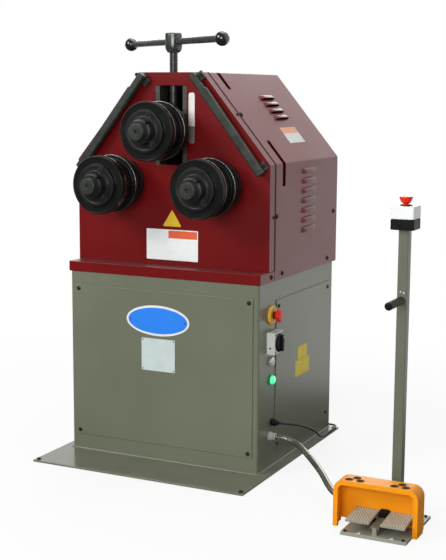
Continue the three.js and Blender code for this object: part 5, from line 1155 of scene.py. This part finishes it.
plug = [(0, 0), (5, 0), (5.2, 5), (5.5, 12), (5.9, 20), (6.4, 30), (7, 44), (14, 46), (20.3, 50),
        (21.2, 60), (22.3, 98), (26.1, 102.6), (26.1, 140), (23.3, 140), (23.3, 106), (0, 106)]
prong = lathe([(0, 105), (3, 105), (3, 133), (2, 136), (0, 136)], 24)
grip_rib = [[(20.8, -1.2, 62), (20.8, 1.2, 62), (22.9, 1, 64), (22.9, -1, 64)],
            [(21.7, -1.2, 96), (21.7, 1.2, 96), (23.2, 1, 94), (23.2, -1, 94)]]
fittings = []
for i in range(3):
    angle = radians(90 + 120 * i)
    fittings.append((prong, Matrix.Translation((13 * cos(angle), 13 * sin(angle), 0))))
for i in range(12):
    fittings.append((grip_rib, Matrix.Rotation(2 * pi * i / 12, 4, "Z")))
plug_piece = spun("mains_plug", "-X", PLUG_AT, plug, black_plastic, 0.6, 64, fittings)

band = rectangle(-10.6, -14.7, 10.6, 15.3, 4, 4)
tie = bmesh.new()
for angle in (radians(200), radians(325)):
    out = Vector((cos(angle), sin(angle), 0))
    middle = Vector((COIL_X, COIL_Y, COIL_HEART)) + out * (COIL_OUT - COIL_PITCH * 0.75)
    loops = []
    for wide, grow in ((-3, 0), (3, 0), (3, 0.9), (-3, 0.9)):
        edge = middle + Vector((-out.y, out.x, 0)) * wide
        fuller = [(x + (grow if x > 0 else -grow), z + (grow if z > 0 else 0)) for x, z in band]
        loops.append([edge + out * x + UP * z for x, z in fuller])
    add_loops(tie, loops + loops[:1])
coil_tie = settle("coil_ties", tie, black_plastic)

# Pedal station
# A steel base plate with two rocking treadles on one rod, a cast guard over them bolted to a
# switch box behind, and a square post with a grip and a stop box. Treadles have a stud tread.
STATION_X, BASE_TOP = 813, 8
WORN_METAL = srgb(206, 204, 190)
tread_paint = painted("tread_paint", "tread_metal", srgb(150, 150, 134), 0.4, patches=0.2, wear=0.9,
                      worn_to=WORN_METAL)
treadle_metal = painted("treadle_metal", "tread_metal", srgb(152, 151, 135), 0.45, patches=0.25,
                        dust=0.1, wear=0.9, worn_to=WORN_METAL)
stud_metal = painted("stud_metal", "tread_metal", srgb(202, 201, 182), 0.45, patches=0.5, dust=0.0,
                     wear=0.4)
guard_orange = painted("guard_orange", "orange_paint", srgb(255, 160, 20), 0.42, patches=0.06,
                       dust=0.0, wear=0.25, worn_to=srgb(255, 196, 100), specular=0.16)
# The grommets close the guard's holes; their dark brown is painted shade for the inside seen through
# them.
grommet_shade_rubber = moulded("grommet_shade_rubber", "black_plastic", srgb(84, 60, 26), 0.6,
                         Specular_IOR_Level=0.15)
pad_rubber = moulded("pad_rubber", "cable_rubber", srgb(104, 98, 76), 0.6, Specular_IOR_Level=0.2)
softened("pedal_base", 0.7, tread_paint)
softened("pedal_guard", 2.6, guard_orange, steps=4)
GUARD_X, GUARD_TOP = 799.4, 131
holes = []
for side in (-1, 1):
    for x, y in ((47, -483), (79, -483), (63, -463)):
        holes.append(((GUARD_X + side * x, y, GUARD_TOP), UP))
# Closed caps whose dark brown is painted shade for the holes.
grommet = lathe([(0, -4), (8.8, -4), (8.8, 0), (11.6, 0), (11.6, 0.4), (10.8, 0.9), (8, 0.9),
                 (6.8, 0), (6.4, -2.5), (0, -3)], 32)
screws("guard_grommets", holes, grommet, grommet_shade_rubber)

PEDAL_Y, PEDAL_END, PEDAL_Z, PEDAL_RISE = -540, -446.5, 39, 8
STUD_ROWS, STUD_RUN, STUD_GAP = 14, 6.4, 8.3
for name, x0 in (("left", 731), ("right", 828)):
    softened(f"{name}_pedal", 0.9, treadle_metal)
    studs = bmesh.new()
    for row in range(STUD_ROWS):
        shift, count = (STUD_GAP / 2, 7) if row % 2 else (0, 8)
        for column in range(count):
            x = x0 + 4.6 + STUD_GAP * column + shift
            y = PEDAL_Y + 4.9 + STUD_RUN * row
            z = PEDAL_Z + PEDAL_RISE * (y - PEDAL_Y) / (PEDAL_END - PEDAL_Y)
            loops = []
            for wide, long, h in ((3, 3.8, z - 0.3), (2, 2.6, z + 1.1)):
                loops.append([(x - wide, y, h), (x, y - long, h), (x + wide, y, h), (x, y + long, h)])
            add_loops(studs, loops)
    settle(f"{name}_pedal_tread", studs, stud_metal, f"{name}_treadle")

PIVOT_Y, PIVOT_Z, RIB_TOP = -454, 30, 28
SPRING_TURNS, SPRING_STEPS, SPRING_LONG, SPRING_RADIUS, SPRING_WIRE = 3.4, 24, 7, 6.4, 0.95
springs = bmesh.new()
for gap in (798.9, 820.1):
    count = int(SPRING_TURNS * SPRING_STEPS)
    loops = []
    for i in range(count + 1):
        angle = 2 * pi * i / SPRING_STEPS
        out = Vector((0, cos(angle), sin(angle)))
        heart = Vector((gap + SPRING_LONG * i / count, PIVOT_Y, PIVOT_Z)) + out * SPRING_RADIUS
        turns = [2 * pi * k / 8 for k in range(8)]
        loops.append([heart + (out * cos(a) + RIGHTWARD * sin(a)) * SPRING_WIRE for a in turns])
    add_loops(springs, loops)
settle("treadle_springs", springs, black_screw)

RIBS, RIB_FIRST, RIB_GAP, RIB_HALF = 14, -535, 5.6, 12
rib_pad = bmesh.new()
x0, x1 = STATION_X - RIB_HALF, STATION_X + RIB_HALF
for i in range(RIBS):
    loops = []
    for z, half in ((RIB_TOP - 4, 2.9), (RIB_TOP + 5, 1.4)):
        y0, y1 = RIB_FIRST + RIB_GAP * i - half, RIB_FIRST + RIB_GAP * i + half
        loops.append([(x0, y0, z), (x1, y0, z), (x1, y1, z), (x0, y1, z)])
    add_loops(rib_pad, loops)
settle("rib_pad", rib_pad, pad_rubber)

# The first block is the treadles' stop. The plate on the guard's back wall and the block by the pivot are
# black fill, painted shade under and between the treadles.
block = bmesh.new()
brick(block, (STATION_X - 13, PIVOT_Y - 6.5, 39), (STATION_X + 13, PIVOT_Y + 6.5, 52))
bevel_edges(block, block.edges, 2.4, 3)
brick(block, (STATION_X - 44, -446.7, 9), (STATION_X + 44, -445.5, 39))
brick(block, (STATION_X - 11, -468, 26), (STATION_X + 11, -450, 48))
settle("rocker_stop", block, black_plastic)
base_bolts = [((STATION_X + sx * 80, y, BASE_TOP), UP) for sx in (-1, 1) for y in (-543, -338)]
screws("station_bolts", base_bolts, socket_head(4.5, 3.5), black_screw)
label_pale = vinyl("label_pale", "white_plastic", srgb(250, 250, 244))
for name, x in (("left", -42), ("right", 48)):
    place = facing((STATION_X + x, -549, BASE_TOP), UP, BACKWARD)
    slab(f"base_triangle_{name}", [(-7.5, 0), (7.5, 0), (0, 18)], 0.3, place, label_pale, 0.1)

POST_Y, POST_HALF, GRIP_Z, LID_TOP = -345, 14, 608, 860.9
post_paint = painted("post_paint", "olive_paint", srgb(108, 113, 96), 0.4, dust=0.05)
softened("station_post", 0.8, post_paint)
foot = (STATION_X - POST_HALF, POST_Y - POST_HALF, STATION_X + POST_HALF, POST_Y + POST_HALF)
bead("post_weld", foot, BASE_TOP, 2.6, post_paint)
grip = [(0, -476.3), (7, -476.3), (11, -471.3)]
for i in range(9):
    y = -466 + 9.5 * i
    grip += [(11, y), (10.1, y + 1.2), (10.1, y + 2.4), (11, y + 3.6)]
grip += [(11, -373.3), (8.5, -365.3), (8.5, -359.3), (0, -359.3)]
spun("station_grip", "Y", (STATION_X, 0, GRIP_Z), grip, black_plastic, 0.7, 64)
bright = [((STATION_X + x, POST_Y - POST_HALF, GRIP_Z + z), FRONTWARD) for x, z in ((-4, 21), (6, 18))]
screws("grip_screws", bright, pan_head(3.4, 1.8), zinc)
white_plastic = moulded("white_plastic", "white_plastic", srgb(250, 253, 252), 0.35, Coat_Weight=0.2)
softened("station_box", 1.6, black_plastic, steps=3)
softened("station_lid", 2.4, white_plastic, steps=3)
lid_spots = [((STATION_X + x, POST_Y + y, LID_TOP), UP) for x, y in four_corners(25, 25)]
screws("lid_screws", lid_spots, pan_head(3, 1.2), zinc)
collar = [(14.2, 860.5), (17.5, 860.5), (17.5, 862), (16.6, 863), (14.2, 863), (14.2, 860.5)]
spun("lid_collar", "Z", (STATION_X, POST_Y, 0), collar, black_plastic, 0.6)
button = [(0, 848.9), (8, 848.9), (8, 866.9), (12.4, 869.4), (14.6, 873), (16, 877), (18, 881.9),
          (17.6, 884.2), (12, 885.6), (0, 885.9)]
spun("station_estop", "Z", (STATION_X, POST_Y, 0), button, stop_red, 0.8)
screws("box_screws", [((STATION_X - 6, -377.5, 812), FRONTWARD)], pan_head(4.5, 1.5), black_plastic)

# Studio
# A white sweep lies behind and around the machine, which keeps only its soft shadow. The
# room in front and to the left is dim, so paint that faces it stays deep.
bpy.context.scene.view_settings.view_transform = "Standard"
ROOM = 30
DIM = 0.1
AMBIENT = 0.2
BRIGHT_SIDE = Vector((0.45, 0.85, 0)).normalized()


def ray_kinds(tree):
    """Whether a ray is the camera's own, a reflection or one that passes through."""
    rays = tree.nodes.new("ShaderNodeLightPath")
    return [rays.outputs[f"Is {kind} Ray"] for kind in ("Camera", "Glossy", "Transmission")]


floor_mesh = bpy.data.meshes.new("studio_floor")
corners = [(-ROOM, -ROOM, 0), (ROOM, -ROOM, 0), (ROOM, ROOM, 0), (-ROOM, ROOM, 0)]
floor_mesh.from_pydata(corners, [], [(0, 1, 2, 3)])
floor = bpy.data.objects.new("studio_floor", floor_mesh)
floor.location.z = -0.0006
bpy.context.scene.collection.objects.link(floor)
floor_white, tree, shader = finish("floor_white", None, (0.5, 0.5, 0.5, 1), Roughness=0.7,
                                   Specular_IOR_Level=0.2)
in_view, glossy, through = ray_kinds(tree)
shade = mix_node(tree, in_view, (0.5, 0.5, 0.49, 1), (0.97, 0.97, 0.965, 1))
wire(tree, shade, shader.inputs["Base Color"])
place = object_place(tree)
lit = spread_node(tree, vector_node(tree, "LENGTH", place), 0.9, 2.0, 0.85, 1.0)
beyond = vector_node(tree, "DOT_PRODUCT", place, BRIGHT_SIDE)
mirrored = spread_node(tree, beyond, 0.85, 1.25, DIM, 1.0)
seen = math_node(tree, "MULTIPLY", in_view, lit)
seen = math_node(tree, "MAXIMUM", seen, math_node(tree, "MAXIMUM", glossy, through))
lost = math_node(tree, "MULTIPLY", glossy, math_node(tree, "SUBTRACT", 1.0, mirrored))
paper = tree.nodes.new("ShaderNodeEmission")
wire(tree, math_node(tree, "SUBTRACT", 1.0, lost), paper.inputs["Strength"])
blend = tree.nodes.new("ShaderNodeMixShader")
wire(tree, seen, blend.inputs[0])
wire(tree, shader.outputs[0], blend.inputs[1])
wire(tree, paper.outputs[0], blend.inputs[2])
wire(tree, blend.outputs[0], tree.nodes["Material Output"].inputs["Surface"])
floor_mesh.materials.append(floor_white)

world = bpy.data.worlds.new("studio")
bpy.context.scene.world = world
world.use_nodes = True
tree = world.node_tree
backdrop = tree.nodes["Background"]
in_view, glossy, through = ray_kinds(tree)
direction = tree.nodes.new("ShaderNodeTexCoord").outputs["Generated"]
behind = spread_node(tree, vector_node(tree, "DOT_PRODUCT", direction, BRIGHT_SIDE), -0.35, 0.5, DIM, 1.0)
height = spread_node(tree, split_node(tree, direction)["Z"], -0.1, 0.45, 0.8, 1.38)
mirrored = math_node(tree, "MULTIPLY", glossy, math_node(tree, "MULTIPLY", behind, height))
even = math_node(tree, "MULTIPLY", math_node(tree, "SUBTRACT", 1.0, glossy), AMBIENT)
clear = math_node(tree, "MAXIMUM", in_view, through)
light = math_node(tree, "MAXIMUM", math_node(tree, "ADD", mirrored, even), clear)
wire(tree, light, backdrop.inputs["Strength"])
backdrop.inputs["Color"].default_value = (1, 1, 1, 1)


def softbox(name, spot, target, size, power):
    """A square area lamp at spot aimed at target, in metres."""
    lamp = bpy.data.lights.new(name, "AREA")
    lamp.shape = "RECTANGLE"
    lamp.size, lamp.size_y = size
    lamp.energy = power
    thing = bpy.data.objects.new(name, lamp)
    toward = (Vector(target) - Vector(spot)).to_track_quat("-Z", "Y").to_matrix().to_4x4()
    thing.matrix_world = Matrix.Translation(Vector(spot)) @ toward
    bpy.context.scene.collection.objects.link(thing)


softbox("key", (-2.6, -3.6, 3.2), (0, -0.1, 0.6), (1.8, 1.8), 122)
softbox("front_fill", (1.0, -4.6, 1.7), (0.2, 0, 0.4), (2.4, 1.6), 90)
softbox("top", (0.1, 0.3, 3.6), (0, 0, 0.6), (2.0, 2.0), 36)
softbox("back_fill", (-1.6, 4.4, 2.4), (0, 0, 0.6), (2.4, 1.8), 62)
